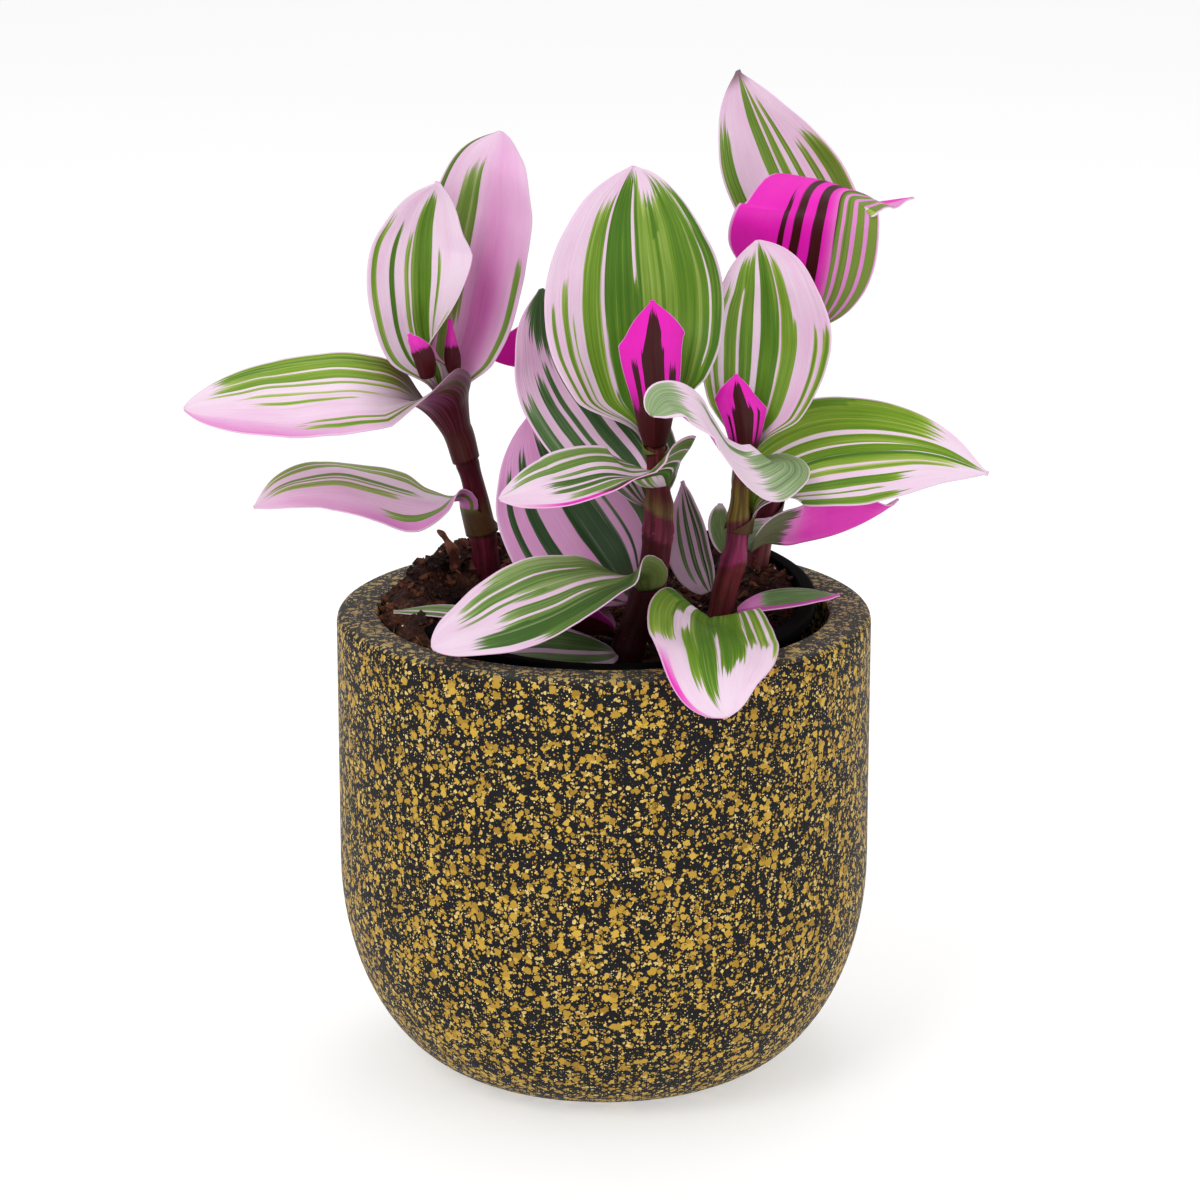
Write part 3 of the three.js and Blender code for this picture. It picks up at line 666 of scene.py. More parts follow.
def makeSpill(name, bed, material):
    turns = np.linspace(0, 1, bed["columns"])
    shares = np.linspace(0, 1, bed["rows"])
    radii = bed["radii"][0] + (bed["radii"][-1] - bed["radii"][0]) * shares
    angles = np.radians(bed["from"] + (bed["to"] - bed["from"]) * turns)
    x = radii[:, None] * np.cos(angles)
    y = radii[:, None] * np.sin(angles)
    ends = smooth(0, 0.16, turns) * (1 - smooth(0.84, 1, turns))
    z = nurserySize["top"][2] + y * math.tan(lean) + np.interp(radii, bed["radii"], bed["heights"])[:, None]
    places = [Vector((px * 0.14, py * 0.14, 7)) for px, py in zip(x.ravel(), y.ravel())]
    rough = [noise.fractal(place, 0.8, 2.2, 4) for place in places]
    inner = smooth(0, 0.15, shares)[:, None]
    z = z + bed["crumble"] * np.reshape(rough, x.shape) * inner - bed["sink"] * (1 - ends)
    top = np.stack([x, y, z], axis=-1).reshape(-1, 3)
    vertices = np.concatenate([top, top - (0, 0, bed["thickness"])])
    return placed(name, vertices, sheetFaces(*x.shape, True), material, "soil")


soilPiece = makeSoil(soilBed)
spills = [makeSpill(name, bed, soilPiece.data.materials[0]) for name, bed in spillBeds.items()]
print("nursery pot and soil made")


# Geometry Nodes: a tree is run once on an object and leaves a plain mesh.
def newTree(name, sizes):  # sizes: the tree's own inputs with their values
    tree = bpy.data.node_groups.new(name, "GeometryNodeTree")
    tree.interface.new_socket("Geometry", in_out="INPUT", socket_type="NodeSocketGeometry")
    for key, value in sizes.items():
        kind = "NodeSocketInt" if isinstance(value, int) else "NodeSocketFloat"
        tree.interface.new_socket(key, in_out="INPUT", socket_type=kind)
    tree.interface.new_socket("Geometry", in_out="OUTPUT", socket_type="NodeSocketGeometry")
    board = Board(tree)
    inputs = tree.nodes.new("NodeGroupInput")
    wires = {socket.name: Wire(board, socket) for socket in inputs.outputs if socket.name}
    return tree, board, wires


def endTree(board, geometry, material):
    real = board.put("GeometryNodeRealizeInstances", None, {0: geometry})
    dressed = board.put("GeometryNodeSetMaterial", None, {"Geometry": real, "Material": material})
    output = board.tree.nodes.new("NodeGroupOutput")
    board.tree.links.new(dressed.socket, output.inputs[0])


def runTree(name, source, tree, sizes):
    modifier = source.modifiers.new("made", "NODES")
    modifier.node_group = tree
    for socket in tree.interface.items_tree:
        if socket.in_out == "INPUT" and socket.name in sizes:
            modifier[socket.identifier] = sizes[socket.name]
    bpy.context.view_layer.update()
    shown = source.evaluated_get(bpy.context.evaluated_depsgraph_get())
    mesh = bpy.data.meshes.new_from_object(shown)
    source.modifiers.remove(modifier)
    mesh.name = name
    return linked(name, mesh)


# What lies on the soil: crumbs to the square metre, sizes in metres.
crumbSizes = {"Amount": 210000.0, "Smallest": 0.0005, "Largest": 0.0042, "Flatness": 0.7, "Seed": 5}
speckSizes = {"Amount": 14000.0, "Smallest": 0.0004, "Largest": 0.0012, "Flatness": 0.7, "Seed": 8}
fibreSizes = {"Amount": 9000.0, "Length": 0.008, "Thickness": 0.0002, "Bend": 0.5, "Seed": 3}
steepest = 0.25  # least upward part of the normal where something may lie


def scatterPoints(board, wires):  # on the soil's top only
    normal = board.put("GeometryNodeInputNormal")
    tilt = board.put("ShaderNodeSeparateXYZ", None, {0: normal}, out=2)
    top = board.put("FunctionNodeCompare", {"operation": "GREATER_THAN"}, {0: tilt, 1: steepest})
    links = {"Mesh": wires["Geometry"], "Selection": top, "Density": wires["Amount"], "Seed": wires["Seed"]}
    return board.put("GeometryNodeDistributePointsOnFaces", None, links)


def randomValue(board, low, high, seed):
    return board.put("FunctionNodeRandomValue", None, {2: low, 3: high, "Seed": seed}, out=1)


def randomTurn(board, low, high, seed):
    links = {0: low, 1: high, "Seed": seed}
    turn = board.put("FunctionNodeRandomValue", {"data_type": "FLOAT_VECTOR"}, links)
    return board.put("FunctionNodeEulerToRotation", None, {0: turn})


def crumbTree(name, sizes, material):
    tree, board, wires = newTree(name, sizes)
    points = scatterPoints(board, wires)
    lump = board.put("GeometryNodeMeshIcoSphere", None, {"Radius": 1.0, "Subdivisions": 1})
    place = board.put("GeometryNodeInputPosition")
    wobble = board.put("ShaderNodeTexNoise", None, {"Vector": place, "Scale": 1.3, "Detail": 1.0})
    links = {0: place, "Scale": (wobble - 0.5) * 1.5}
    push = board.put("ShaderNodeVectorMath", {"operation": "SCALE"}, links)
    lump = board.put("GeometryNodeSetPosition", None, {"Geometry": lump, "Offset": push})
    share = randomValue(board, 0.0, 1.0, wires["Seed"])
    size = wires["Smallest"] + share * share * share * (wires["Largest"] - wires["Smallest"])
    scale = board.vector(size * 0.5, size * 0.5, size * 0.5 * wires["Flatness"])
    turn = randomTurn(board, (-0.8, -0.8, 0.0), (0.8, 0.8, 6.28), 4)
    links = {"Points": points, "Instance": lump, "Rotation": turn, "Scale": scale}
    endTree(board, board.put("GeometryNodeInstanceOnPoints", None, links), material)
    return tree


def fibreTree(sizes, material):
    tree, board, wires = newTree("soilFibres", sizes)
    points = scatterPoints(board, wires)
    half = wires["Length"] * 0.5
    links = {
        "Start": board.vector(-1 * half, 0.0, 0.0),
        "Middle": board.vector(0.0, half * wires["Bend"], half * 0.25),
        "End": board.vector(half, 0.0, 0.0),
        "Resolution": 5,
    }
    thread = board.put("GeometryNodeCurveQuadraticBezier", None, links)
    links = {"Resolution": 3, "Radius": wires["Thickness"]}
    ring = board.put("GeometryNodeCurvePrimitiveCircle", None, links)
    links = {"Curve": thread, "Profile Curve": ring, "Fill Caps": True}
    thread = board.put("GeometryNodeCurveToMesh", None, links)
    turn = randomTurn(board, (-0.5, -0.5, 0.0), (0.5, 0.5, 6.28), 2)
    scale = randomValue(board, 0.3, 1.3, 7)
    links = {"Points": points, "Instance": thread, "Rotation": turn, "Scale": scale}
    endTree(board, board.put("GeometryNodeInstanceOnPoints", None, links), material)
    return tree


fibreLook = fibreMaterial("rootFibre")
speckLook = fibreMaterial("paleSpeck")
crumbLook = fibreMaterial("soilCrumb")
scatterings = [
    ("crumbs", crumbTree("soilCrumbs", crumbSizes, crumbLook), crumbSizes, crumbLook),
    ("specks", crumbTree("soilSpecks", speckSizes, speckLook), speckSizes, speckLook),
    ("fibres", fibreTree(fibreSizes, fibreLook), fibreSizes, fibreLook),
]
for bed, prefix in zip([soilPiece, *spills], ["soil", *spillBeds]):  # each kind on each bed
    for kind, tree, sizes, look in scatterings:
        scattered = runTree(prefix + "_" + kind, bed, tree, sizes)
        finished(scattered, look)
        print("scattered", scattered.name, len(scattered.data.polygons))


# Curves through points, as the solids have them.
def curvePoint(points, t):
    place = (len(points) - 1) * t
    i = min(int(place), len(points) - 2)
    w = place - i
    b, c = points[i], points[i + 1]
    a = points[i - 1] if i > 0 else 2 * points[0] - points[1]
    d = points[i + 2] if i + 2 < len(points) else 2 * points[-1] - points[-2]
    first, second, third = (max(np.sum((q - p) ** 2) ** 0.25, 1e-4) for p, q in ((a, b), (b, c), (c, d)))
    start = ((b - a) / first - (c - a) / (first + second) + (c - b) / second) * second
    end = ((c - b) / second - (d - b) / (second + third) + (d - c) / third) * second
    square, cube = w * w, w * w * w
    bend = -3 * b + 3 * c - 2 * start - end
    return b + start * w + bend * square + (2 * b - 2 * c + start + end) * cube


class Curve:  # shares of its length, like the solids' curves
    def __init__(self, points, divisions=200):
        self.points = [np.array(p, float) for p in points]
        self.turns = np.linspace(0, 1, divisions + 1)
        spots = np.array([curvePoint(self.points, t) for t in self.turns])
        self.lengths = np.r_[0, np.cumsum(np.linalg.norm(np.diff(spots, axis=0), axis=1))]

    def turnAt(self, share):
        return float(np.interp(share * self.lengths[-1], self.lengths, self.turns))

    def at(self, share):
        return curvePoint(self.points, self.turnAt(share))

    def tangent(self, share):
        t = self.turnAt(share)
        return unit(curvePoint(self.points, min(1, t + 1e-4)) - curvePoint(self.points, max(0, t - 1e-4)))


def along(values, s):  # values spread evenly over 0 to 1
    if np.ndim(values) == 0:
        return float(values)
    return float(np.interp(s * (len(values) - 1), np.arange(len(values)), values))


stems = {
    "stem_left": {
        "path": [[-32, 21, 112], [-33, 21, 133.5], [-34.5, 20, 148.5], [-37, 19, 163.5], [-40.5, 18, 176.5],
            [-43.5, 17, 188.5], [-45, 16, 194.5]],
        "radii": [4.2, 4.2, 4, 3.6, 3.2, 2.4, 1.4],
    },
    "stem_middle": {
        "path": [[2, -25, 106], [6.5, -23, 126.5], [11, -21, 139.5], [14, -20, 151.5], [15, -19, 165.5],
            [14.5, -18, 176.5], [14, -17, 186], [14, -17, 191]],
        "radii": [4.6, 4.6, 4.5, 4.4, 4.2, 3.6, 2.6, 1.4],
    },
    "stem_right": {
        "path": [[28, -12, 110], [31.5, -12, 130], [33.5, -11, 140], [36.5, -10, 151.5], [37.5, -10, 163.5],
            [38, -10, 172], [38.5, -11, 179], [38.5, -11, 184]],
        "radii": [3.6, 3.6, 3.6, 3.5, 3.3, 2.8, 2.1, 1.2],
    },
    "stem_rear": {
        "path": [[39, 21, 112], [41.5, 22, 130.5], [44, 24, 142], [47.5, 27, 159], [51, 30, 176],
            [54.5, 33, 192], [57.5, 35, 205], [59, 35, 212]],
        "radii": [3.6, 3.6, 3.6, 3.4, 3.2, 3, 2.4, 1.4],
    },
}
stemLook = {
    "step": 0.8,  # from ring to ring
    "sides": 28,
    "swelling": 0.55,  # how far a node stands out
    "swellingReach": 2.6,
    "groove": 0.25,  # the dip just under a node
    "grooveReach": 0.5,
    "grooveDrop": 0.6,
    "uneven": 0.16,
    "unevenWaves": 23,
    "end": (0.92, 0.7, 0.3),  # how the last rings close
    "slant": 0.35,  # how steeply the borders of the colours run round the stem
    "ripple": 0.5,
    "skinAround": 2.2,  # cells of the streaks round the stem, and to the metre along it
    "skinAlong": 40,
}
stemNodes = {  # heights of the joints between stretches
    "stem_left": [126, 149.5, 171, 182, 188],
    "stem_middle": [126.5, 143.5, 159.5, 167, 174, 181],
    "stem_right": [130, 148.5, 160.5, 170.5, 176],
    "stem_rear": [128, 152.5, 168, 185, 205],
}
stemTints = {  # height, colour
    "stem_left": [(112, "#380f14"), (128, "#4a121b"), (137, "#571823"), (142, "#78253d"), (149, "#762c3a"),
        (151, "#7a6a38"), (160, "#6a1f2d"), (171, "#551525"), (183, "#883843"), (196, "#9c6a52")],
    "stem_middle": [(106, "#2b0b10"), (135, "#400f16"), (143, "#53141b"), (150, "#5c3a24"), (153, "#5c181f"),
        (159, "#561522"), (159.8, "#883350"), (166, "#7b2a40"), (167.2, "#86703e"), (173, "#6c252d"),
        (181, "#772a33"), (191, "#93604c")],
    "stem_right": [(110, "#3a0e13"), (132, "#57191e"), (140, "#6a2a2a"), (148, "#712730"), (148.9, "#9f2f65"),
        (158, "#9b4163"), (160.2, "#7c4a3c"), (161, "#94803c"), (168, "#8c7636"), (172, "#84503e"),
        (184, "#9a6c4c")],
    "stem_rear": [(112, "#572523"), (135, "#85504a"), (150, "#863740"), (153, "#672530"), (170, "#882d44"),
        (185, "#591b29"), (204, "#863540"), (212, "#a06a50")],
}


def stemTree(material):  # a tube round a curve, with its radius from the curve's points
    tree, board, wires = newTree("stemTube", {"Sides": stemLook["sides"]})
    links = {"Resolution": wires["Sides"], "Radius": 1.0}
    ring = board.put("GeometryNodeCurvePrimitiveCircle", None, links)
    share = board.put("GeometryNodeSplineParameter")
    links = {"Geometry": ring, "Name": "round", "Value": share}
    ring = board.put("GeometryNodeStoreNamedAttribute", {"data_type": "FLOAT", "domain": "POINT"}, links)
    distance = board.put("GeometryNodeSplineParameter", out=1)
    links = {"Geometry": wires["Geometry"], "Name": "distance", "Value": distance}
    path = board.put("GeometryNodeStoreNamedAttribute", {"data_type": "FLOAT", "domain": "POINT"}, links)
    radius = board.put("GeometryNodeInputRadius")
    links = {"Curve": path, "Profile Curve": ring, "Scale": radius, "Fill Caps": True}
    tube = board.put("GeometryNodeCurveToMesh", None, links)
    tube = board.put("GeometryNodeSetShadeSmooth", None, {"Geometry": tube})
    endTree(board, tube, material)
    return tree


def tube(name, points, radii, tree):
    data = bpy.data.curves.new(name + "Path", "CURVE")
    data.dimensions = "3D"
    spline = data.splines.new("POLY")
    spline.points.add(len(points) - 1)
    for spot, place, radius in zip(spline.points, points, radii):
        spot.co = (*(place * mm), 1)
        spot.radius = radius * mm
    source = linked(name + "Path", data)
    piece = runTree(name, source, tree, {"Sides": stemLook["sides"]})
    bpy.data.objects.remove(source)
    return piece


def valuesOf(mesh, name):
    values = np.empty(len(mesh.vertices), np.float32)
    mesh.attributes[name].data.foreach_get("value", values)
    return values


def pointsOf(mesh):
    values = np.empty(len(mesh.vertices) * 3, np.float32)
    mesh.vertices.foreach_get("co", values)
    return values.reshape(-1, 3) / mm


def addField(mesh, name, kind, values):
    field = {"FLOAT_COLOR": "color", "FLOAT_VECTOR": "vector"}[kind]
    mesh.attributes.new(name, kind, "POINT").data.foreach_set(field, values.astype(np.float32).ravel())


def tintStem(piece, stops, facing):  # colours by height, with borders that run slanting round the stem
    mesh = piece.data
    points = pointsOf(mesh)
    heights = [stop[0] for stop in stops]
    colours = np.array([hexColour(stop[1]) for stop in stops])
    turn = valuesOf(mesh, "round") * 2 * math.pi
    sideways = stemLook["slant"] * facing * (points[:, 0] - points[:, 0].mean())
    level = points[:, 2] + sideways + stemLook["ripple"] * np.sin(turn + 1)
    tint = np.stack([np.interp(level, heights, colours[:, k]) for k in range(4)], axis=1)
    addField(mesh, "tint", "FLOAT_COLOR", tint)
    around, ahead = stemLook["skinAround"], stemLook["skinAlong"]
    skin = [around * np.cos(turn), around * np.sin(turn), ahead * valuesOf(mesh, "distance")]
    addField(mesh, "skin", "FLOAT_VECTOR", np.stack(skin, axis=1))


def makeStems():
    material = stemMaterial(stemFinish)
    tree = stemTree(material)
    for name, stem in stems.items():
        curve = Curve(stem["path"])
        count = int(curve.lengths[-1] / stemLook["step"])
        shares = np.linspace(0, 1, count + 1)
        points = np.array([curve.at(share) for share in shares])
        radii = np.array([along(stem["radii"], share) for share in shares])
        for height in stemNodes[name]:
            gap = (points[:, 2] - height) / stemLook["swellingReach"]
            dip = (points[:, 2] - height + stemLook["grooveDrop"]) / stemLook["grooveReach"]
            radii = radii + stemLook["swelling"] * np.exp(-(gap**2)) - stemLook["groove"] * np.exp(-(dip**2))
        radii = radii + stemLook["uneven"] * np.sin(shares * stemLook["unevenWaves"] + len(name))
        radii[-len(stemLook["end"]) :] *= stemLook["end"]
        piece = tube(name + "_skin", points, radii, tree)
        tintStem(piece, stemTints[name], 1 if name == "stem_middle" else -1)
        finished(piece, material, [name])
    return tree


stemTubes = makeStems()

dryStalk = {
    "path": [[-39, 20, 118], [-41.5, 20.5, 131], [-42.5, 21.5, 140], [-43.8, 22.5, 145], [-47.5, 23.5, 149]],
    "radii": [2.4, 2.4, 2, 1.4, 0.9],
    "rings": 45,
    "waves": [(0.12, 41, 0), (0.1, 17, 1)],  # share of the radius, turns along the stalk, start
    "end": (0.75, 0.35),
    "knots": 0.5,
    "knotScale": 420,
}


def makeStalk(stalk):
    material = fibreMaterial("dryBark")
    curve = Curve(stalk["path"])
    shares = np.linspace(0, 1, stalk["rings"] + 1)
    points = np.array([curve.at(share) for share in shares])
    radii = np.array([along(stalk["radii"], share) for share in shares])
    radii = radii * (1 + sum(high * np.sin(shares * turns + start) for high, turns, start in stalk["waves"]))
    radii[-len(stalk["end"]) :] *= stalk["end"]
    piece = tube("dry_stalk_skin", points, radii, stemTubes)
    moved = []
    for vertex in piece.data.vertices:
        push = noise.noise(vertex.co * stalk["knotScale"]) * stalk["knots"] * mm
        moved.extend(vertex.co + vertex.normal * push)
    piece.data.vertices.foreach_set("co", moved)
    piece.data.materials.clear()  # the tree gave it the stems' material
    finished(piece, material, ["dry_stalk"])


makeStalk(dryStalk)
print("stems made")


# Leaves, as in the solids: a path, the way its upper side faces, and values of the left and right half as
# seen from the foot with the upper side up. A leaf with a stem starts as a sheath round it.
leaves = {
    "leaf_left_1": {
        "stem": "stem_left", "from": 149, "sheath": 8, "open": 0.3,
        "path": [[-40, 16, 159.5], [-49, 12, 160], [-64, 8, 165], [-77, 5, 168], [-89, 3, 166],
            [-98, 2, 161]],
        "up": [[0, -0.15, 1], [0, -0.3, 1]], "width": [19, 16], "widest": [0.38, 0.5], "blunt": 0.85,
        "fold": [[10, -12, -18, -8], [10, 0, -6, -2]], "curl": [12, 6],
        "wave": [[1.8, 1.1, 0.55], [0.8, 1.2, 0.1]],
    },
    "leaf_left_2": {
        "stem": "stem_left", "from": 171, "sheath": 8, "mouth": [140, 60], "open": 0.36, "funnel": True,
        "path": [[-48, 13, 184], [-52, 10, 188.5], [-60, 6, 192.5], [-73, 2, 194.5], [-87, -1, 194],
            [-102, -4, 193], [-116, -6, 191]],
        "up": [[-0.3, -0.2, 1], [0, -0.5, 1], [0, -0.55, 1], [0, -0.5, 1]], "width": [20, 16],
        "widest": [0.58, 0.62], "base": 0.45, "blunt": 0.7, "fold": [[40, -4, -8, -6], [40, 0, -8, -4]],
        "curl": [[60, 14, 14], [30, 6, 6]], "wave": [[1.2, 1.1, 0.5], [0.8, 1.2, 0.6]],
    },
    "leaf_left_3": {
        "stem": "stem_left", "from": 187.5, "sheath": 2.5, "open": 0.2, "funnel": True,
        "path": [[-46.5, 18.5, 194], [-50, 20.5, 205], [-51, 20, 222], [-50, 19, 238], [-46, 13, 251]],
        "up": [[-0.1, -1, 0.3], [0, -1, 0.2], [0, -1, 0.1], [0, -1, 0]], "width": [16.5, 17],
        "widest": 0.52, "base": 0.4, "blunt": [1, 0.8], "fold": [[40, 20, 10, 10], [60, 45, 12, 8]],
        "curl": [20, [120, 60, 20, 20]],
    },
    "leaf_left_4": {
        "stem": "stem_left", "from": 182.5, "sheath": 2.5, "open": 0.2, "kind": "pink",
        "path": [[-43.5, 22.5, 191], [-39, 27, 207], [-36, 31, 223], [-33.5, 33, 238], [-32, 34, 252],
            [-29, 40, 261]],
        "up": [[-0.2, -1, 0.2], [-0.1, -1, 0.2], [-0.1, -1, 0]], "width": [18, 16], "widest": 0.58,
        "base": 0.3, "blunt": [0.8, 0.62], "fold": [10, 12], "curl": [16, 22],
        "wave": [[0, 1, 0], [1.8, 1.6, 0.2]],
    },
    "leaf_left_5": {
        "kind": "young",
        "path": [[-42, 11, 197.5], [-42.5, 10.8, 201.5], [-42.8, 11.8, 207], [-43, 13.6, 212.5]],
        "up": [[0, 1, 0]], "width": [3, 2.6], "widest": 0.3, "base": 0.7, "taper": 1.2, "fold": 20,
        "curl": 30,
    },
    "leaf_left_6": {
        "kind": "young", "path": [[-49.5, 5.5, 197], [-51, 4, 204], [-54, 5, 210]], "up": [[0.3, 1, 0]],
        "width": 4, "widest": 0.5, "base": 0.6, "fold": 20, "curl": 30,
    },
    "leaf_middle_1": {
        "stem": "stem_middle", "from": 180.5, "sheath": 3, "open": 0.18,
        "path": [[12, -12.5, 187.5], [10, -9, 197], [8, -5, 221], [7, -5, 244], [8, -9, 259]],
        "up": [[0, -1, 0.2], [0, -1, 0.1], [0, -1, 0]], "width": [26, 26.5], "widest": [0.48, 0.52],
        "base": 0.2, "blunt": [0.82, 0.6], "fold": [[20, 8, 6, 6], [20, 8, 6, 6]], "curl": [24, 26],
        "wave": [[0.8, 1, 0.1], [2.2, 1.4, 0.05]],
    },
    "leaf_middle_2": {
        "kind": "young", "path": [[14, -20.9, 183.4], [14, -25.5, 198], [13, -27, 212], [13, -24, 225]],
        "up": [[0, 1, 0]], "width": [11, 11.5], "widest": [0.8, 0.7], "base": 0.34, "rise": 1.2,
        "taper": 1.1, "fold": 22, "curl": 30,
    },
    "leaf_middle_3": {
        "path": [[17.4, -22.7, 173.5], [16, -27.5, 178], [8.5, -33, 178.5], [-1.5, -38, 180],
            [-13.5, -45, 179], [-28, -50, 176]],
        "up": [[-0.2, 0.3, 1], [0, -0.3, 1], [0, -0.2, 1], [0, -0.3, 1]], "width": [18, 16],
        "widest": [0.5, 0.5], "base": [0.5, 0.36], "blunt": 0.75,
        "fold": [[45, 20, -10, -14], [0, 0, -4, 0]], "curl": [[30, 20, 30, 20], [10, 10, 14]],
    },
    "leaf_middle_4": {
        "path": [[12.9, -14.6, 166], [10, -10, 175], [0, -2, 186], [-12, 6, 202], [-17.5, 8.5, 222]],
        "up": [[0.3, -1, 0.4]], "width": [21, 16], "base": 0.15, "blunt": 0.8, "fold": 8, "curl": 20,
    },
    "leaf_middle_5": {
        "kind": "pink", "path": [[8, -16.2, 139], [0, -3, 148], [-11, 4, 163], [-21, 7, 186]],
        "up": [[-0.1, -1, 0.4]], "width": 23, "base": 0.12, "blunt": 0.75, "fold": 8, "curl": 16,
    },
    "leaf_middle_6": {
        "path": [[12, -25.9, 144.5], [11, -27, 149], [3, -32, 149.5], [-9, -42, 149], [-25, -50, 144.5],
            [-46, -57, 136.8]],
        "up": [[0.2, 1, 0.2], [0, -0.2, 1], [0, -0.5, 1], [0, -0.45, 1], [0, -0.35, 1]], "width": [15, 17],
        "widest": 0.58, "base": [0.22, 0.2], "blunt": 0.6, "fold": [[0, 0, -6, -8], [0, 0, -6, -10]],
        "curl": [[40, 30, 14, 10], [40, 10, 10]],
    },
    "leaf_middle_7": {
        "path": [[2.9, -26.9, 127], [-8, -34, 129.5], [-20, -38, 131], [-33, -39, 129.5]],
        "up": [[0, -0.4, 1], [0, -0.5, 1]], "width": 10, "base": 0.2, "fold": 0, "curl": 14,
    },
    "leaf_middle_8": {
        "kind": "young", "path": [[3, -21.4, 131.5], [-5, -20, 131], [-12, -22, 132], [-20, -23, 136]],
        "up": [[0, -0.1, 1]], "width": 12, "base": 0.2, "fold": [60, 20], "curl": 14,
    },
    "leaf_middle_9": {
        "path": [[1.6, -22.3, 126], [-10, -20, 129], [-28, -20, 133], [-45, -21, 136.9], [-58, -22, 137.4]],
        "up": [[0, -0.3, 1]], "width": 5, "base": 0.3, "blunt": 0.8, "fold": 4, "curl": 12,
    },
    "leaf_right_1": {
        "stem": "stem_right", "from": 175.5, "sheath": 2.5, "open": 0.2,
        "path": [[40, -7.5, 182], [42, -5, 192], [44, -2, 207], [44, -1, 221], [42, -5, 238]],
        "up": [[0, -1, 0.2], [0, -1, 0]], "width": [19, 20], "widest": 0.5, "base": 0.3,
        "blunt": [0.8, 0.66], "fold": [[20, 10, 8], [24, 12, 8]], "curl": [24, [60, 26, 24]],
        "wave": [[0.8, 1, 0.1], [2, 1.5, 0.35]],
    },
    "leaf_right_2": {
        "kind": "young", "path": [[38.7, -14.1, 177.9], [38, -18, 191], [36, -16, 203]], "up": [[0, 1, 0]],
        "width": [9, 9], "widest": [0.56, 0.78], "base": 0.36, "rise": 1.2, "taper": 1.1, "fold": 25,
        "curl": 30,
    },
    "leaf_right_3": {
        "stem": "stem_right", "from": 157, "sheath": 4, "mouth": 60, "open": 0.16, "funnel": True,
        "path": [[42.5, -8, 167], [47, -5, 171], [60, -2, 176], [77, 0, 178], [94, 0, 176.5],
            [107, -1, 171.5]],
        "up": [[0.1, -0.8, 0.7], [0.1, -0.8, 0.7], [0.1, -0.9, 0.6]], "width": [17, 19],
        "widest": [0.36, 0.42], "base": 0.2, "blunt": [1.1, 1], "fold": [[30, 6, 4], [30, 6, 4]],
        "curl": [14, 10],
    },
    "leaf_right_4": {
        "path": [[40.4, -11.7, 171], [45, -15.5, 178], [46, -22.5, 179.5], [41, -28.5, 179],
            [35.5, -34, 182.5], [29.5, -40, 191.5], [24.5, -45, 199.5], [16.5, -52, 203.5],
            [12.5, -57, 200.5]],
        "up": [[0, -0.2, 1], [0.3, -0.5, 1], [0.74, -0.15, 0.7], [0.74, -0.15, 0.7], [0.4, -0.4, 0.9],
            [-0.2, -0.7, 0.8]],
        "width": [14, 10], "widest": 0.6, "base": 0.25, "blunt": 0.5, "fold": 0, "curl": 10,
    },
    "leaf_right_5": {
        "path": [[30.7, -16.3, 131.5], [29, -25, 136.5], [28, -40, 138], [29, -62, 138], [30, -80, 132],
            [32, -85, 126]],
        "up": [[0.1, 0, 1], [0.2, -0.3, 1], [0.1, -0.8, 0.5], [0, -1, 0.3]], "width": 18, "widest": 0.55,
        "base": 0.5, "blunt": 0.55, "fold": [[20, 0, 0], [20, 0, 0]], "curl": [14, 20],
    },
    "leaf_right_6": {
        "path": [[37.1, -12.8, 135], [45, -13.2, 136.4], [55, -13, 137.9], [65.5, -12, 139.5]],
        "up": [[0, -0.2, 1]], "width": 6.5, "base": 0.2, "fold": 10, "curl": 14,
    },
    "leaf_right_7": {
        "path": [[30.3, -7.4, 139.5], [28.4, -2.8, 146], [26, 3, 155], [22, 9, 167]],
        "up": [[-0.9, -0.8, 0.3]], "width": [11, 4.5], "widest": 0.45, "base": 0.3, "fold": 10, "curl": 14,
    },
    "leaf_right_8": {
        "kind": "young",
        "path": [[40.6, -8.5, 151], [45, -5.5, 153], [52, -2, 152], [62, 3, 153], [74, 8, 156],
            [83, 12, 161]],
        "up": [[0, 0.3, 1], [0, 0.2, 1]], "width": [15, 16], "base": 0.3, "fold": [[30, 10], [30, 50, 50]],
        "curl": [10, 14],
    },
    "leaf_right_9": {
        "path": [[34, -6.1, 150.5], [32.5, -4.7, 155], [32, -4.3, 159], [32.4, -4.4, 163.8]],
        "up": [[0, -1, 0.2]], "width": 3.2, "widest": 0.5, "base": 0.5, "blunt": 0.6, "fold": 0, "curl": 14,
    },
    "leaf_rear_1": {
        "stem": "stem_rear", "from": 204.5, "sheath": 2.5, "open": 0.2,
        "path": [[60.5, 40, 217], [58, 48, 231], [51, 53, 246], [44, 53, 262], [38, 49, 277]],
        "up": [[0.1, -1, 0.2]], "width": 18, "widest": [0.6, 0.42], "blunt": [0.85, 1.1], "fold": 10,
        "curl": [16, 20], "wave": [[0, 1, 0], [1.8, 1.6, 0.2]],
    },
    "leaf_rear_2": {
        "kind": "young",
        "path": [[58.4, 32.2, 206.4], [61, 25, 216], [63, 19, 228], [64.5, 17, 239.5], [66.5, 22, 246],
            [72.5, 30, 244.5], [80, 38.5, 240.5], [88, 46, 241]],
        "up": [[0, 1, 0], [0, 1, 0], [0, 1, 0], [0, 0.6, -0.8], [0, 0, -1], [0, -0.1, -1]],
        "width": [13.5, 30], "widest": 0.34, "base": 0.15, "blunt": [1.2, 1.1], "fold": 6, "curl": [12, 20],
    },
    "leaf_rear_3": {
        "kind": "young",
        "path": [[49.2, 33, 184.5], [43, 35, 188], [32, 39, 192], [14, 41, 195], [-8, 40, 197],
            [-33, 38, 196.5]],
        "up": [[0, -0.5, 1], [0, 0.6, 1], [0, 1, 0.3]], "width": [17, 10], "widest": 0.55, "base": 0.15,
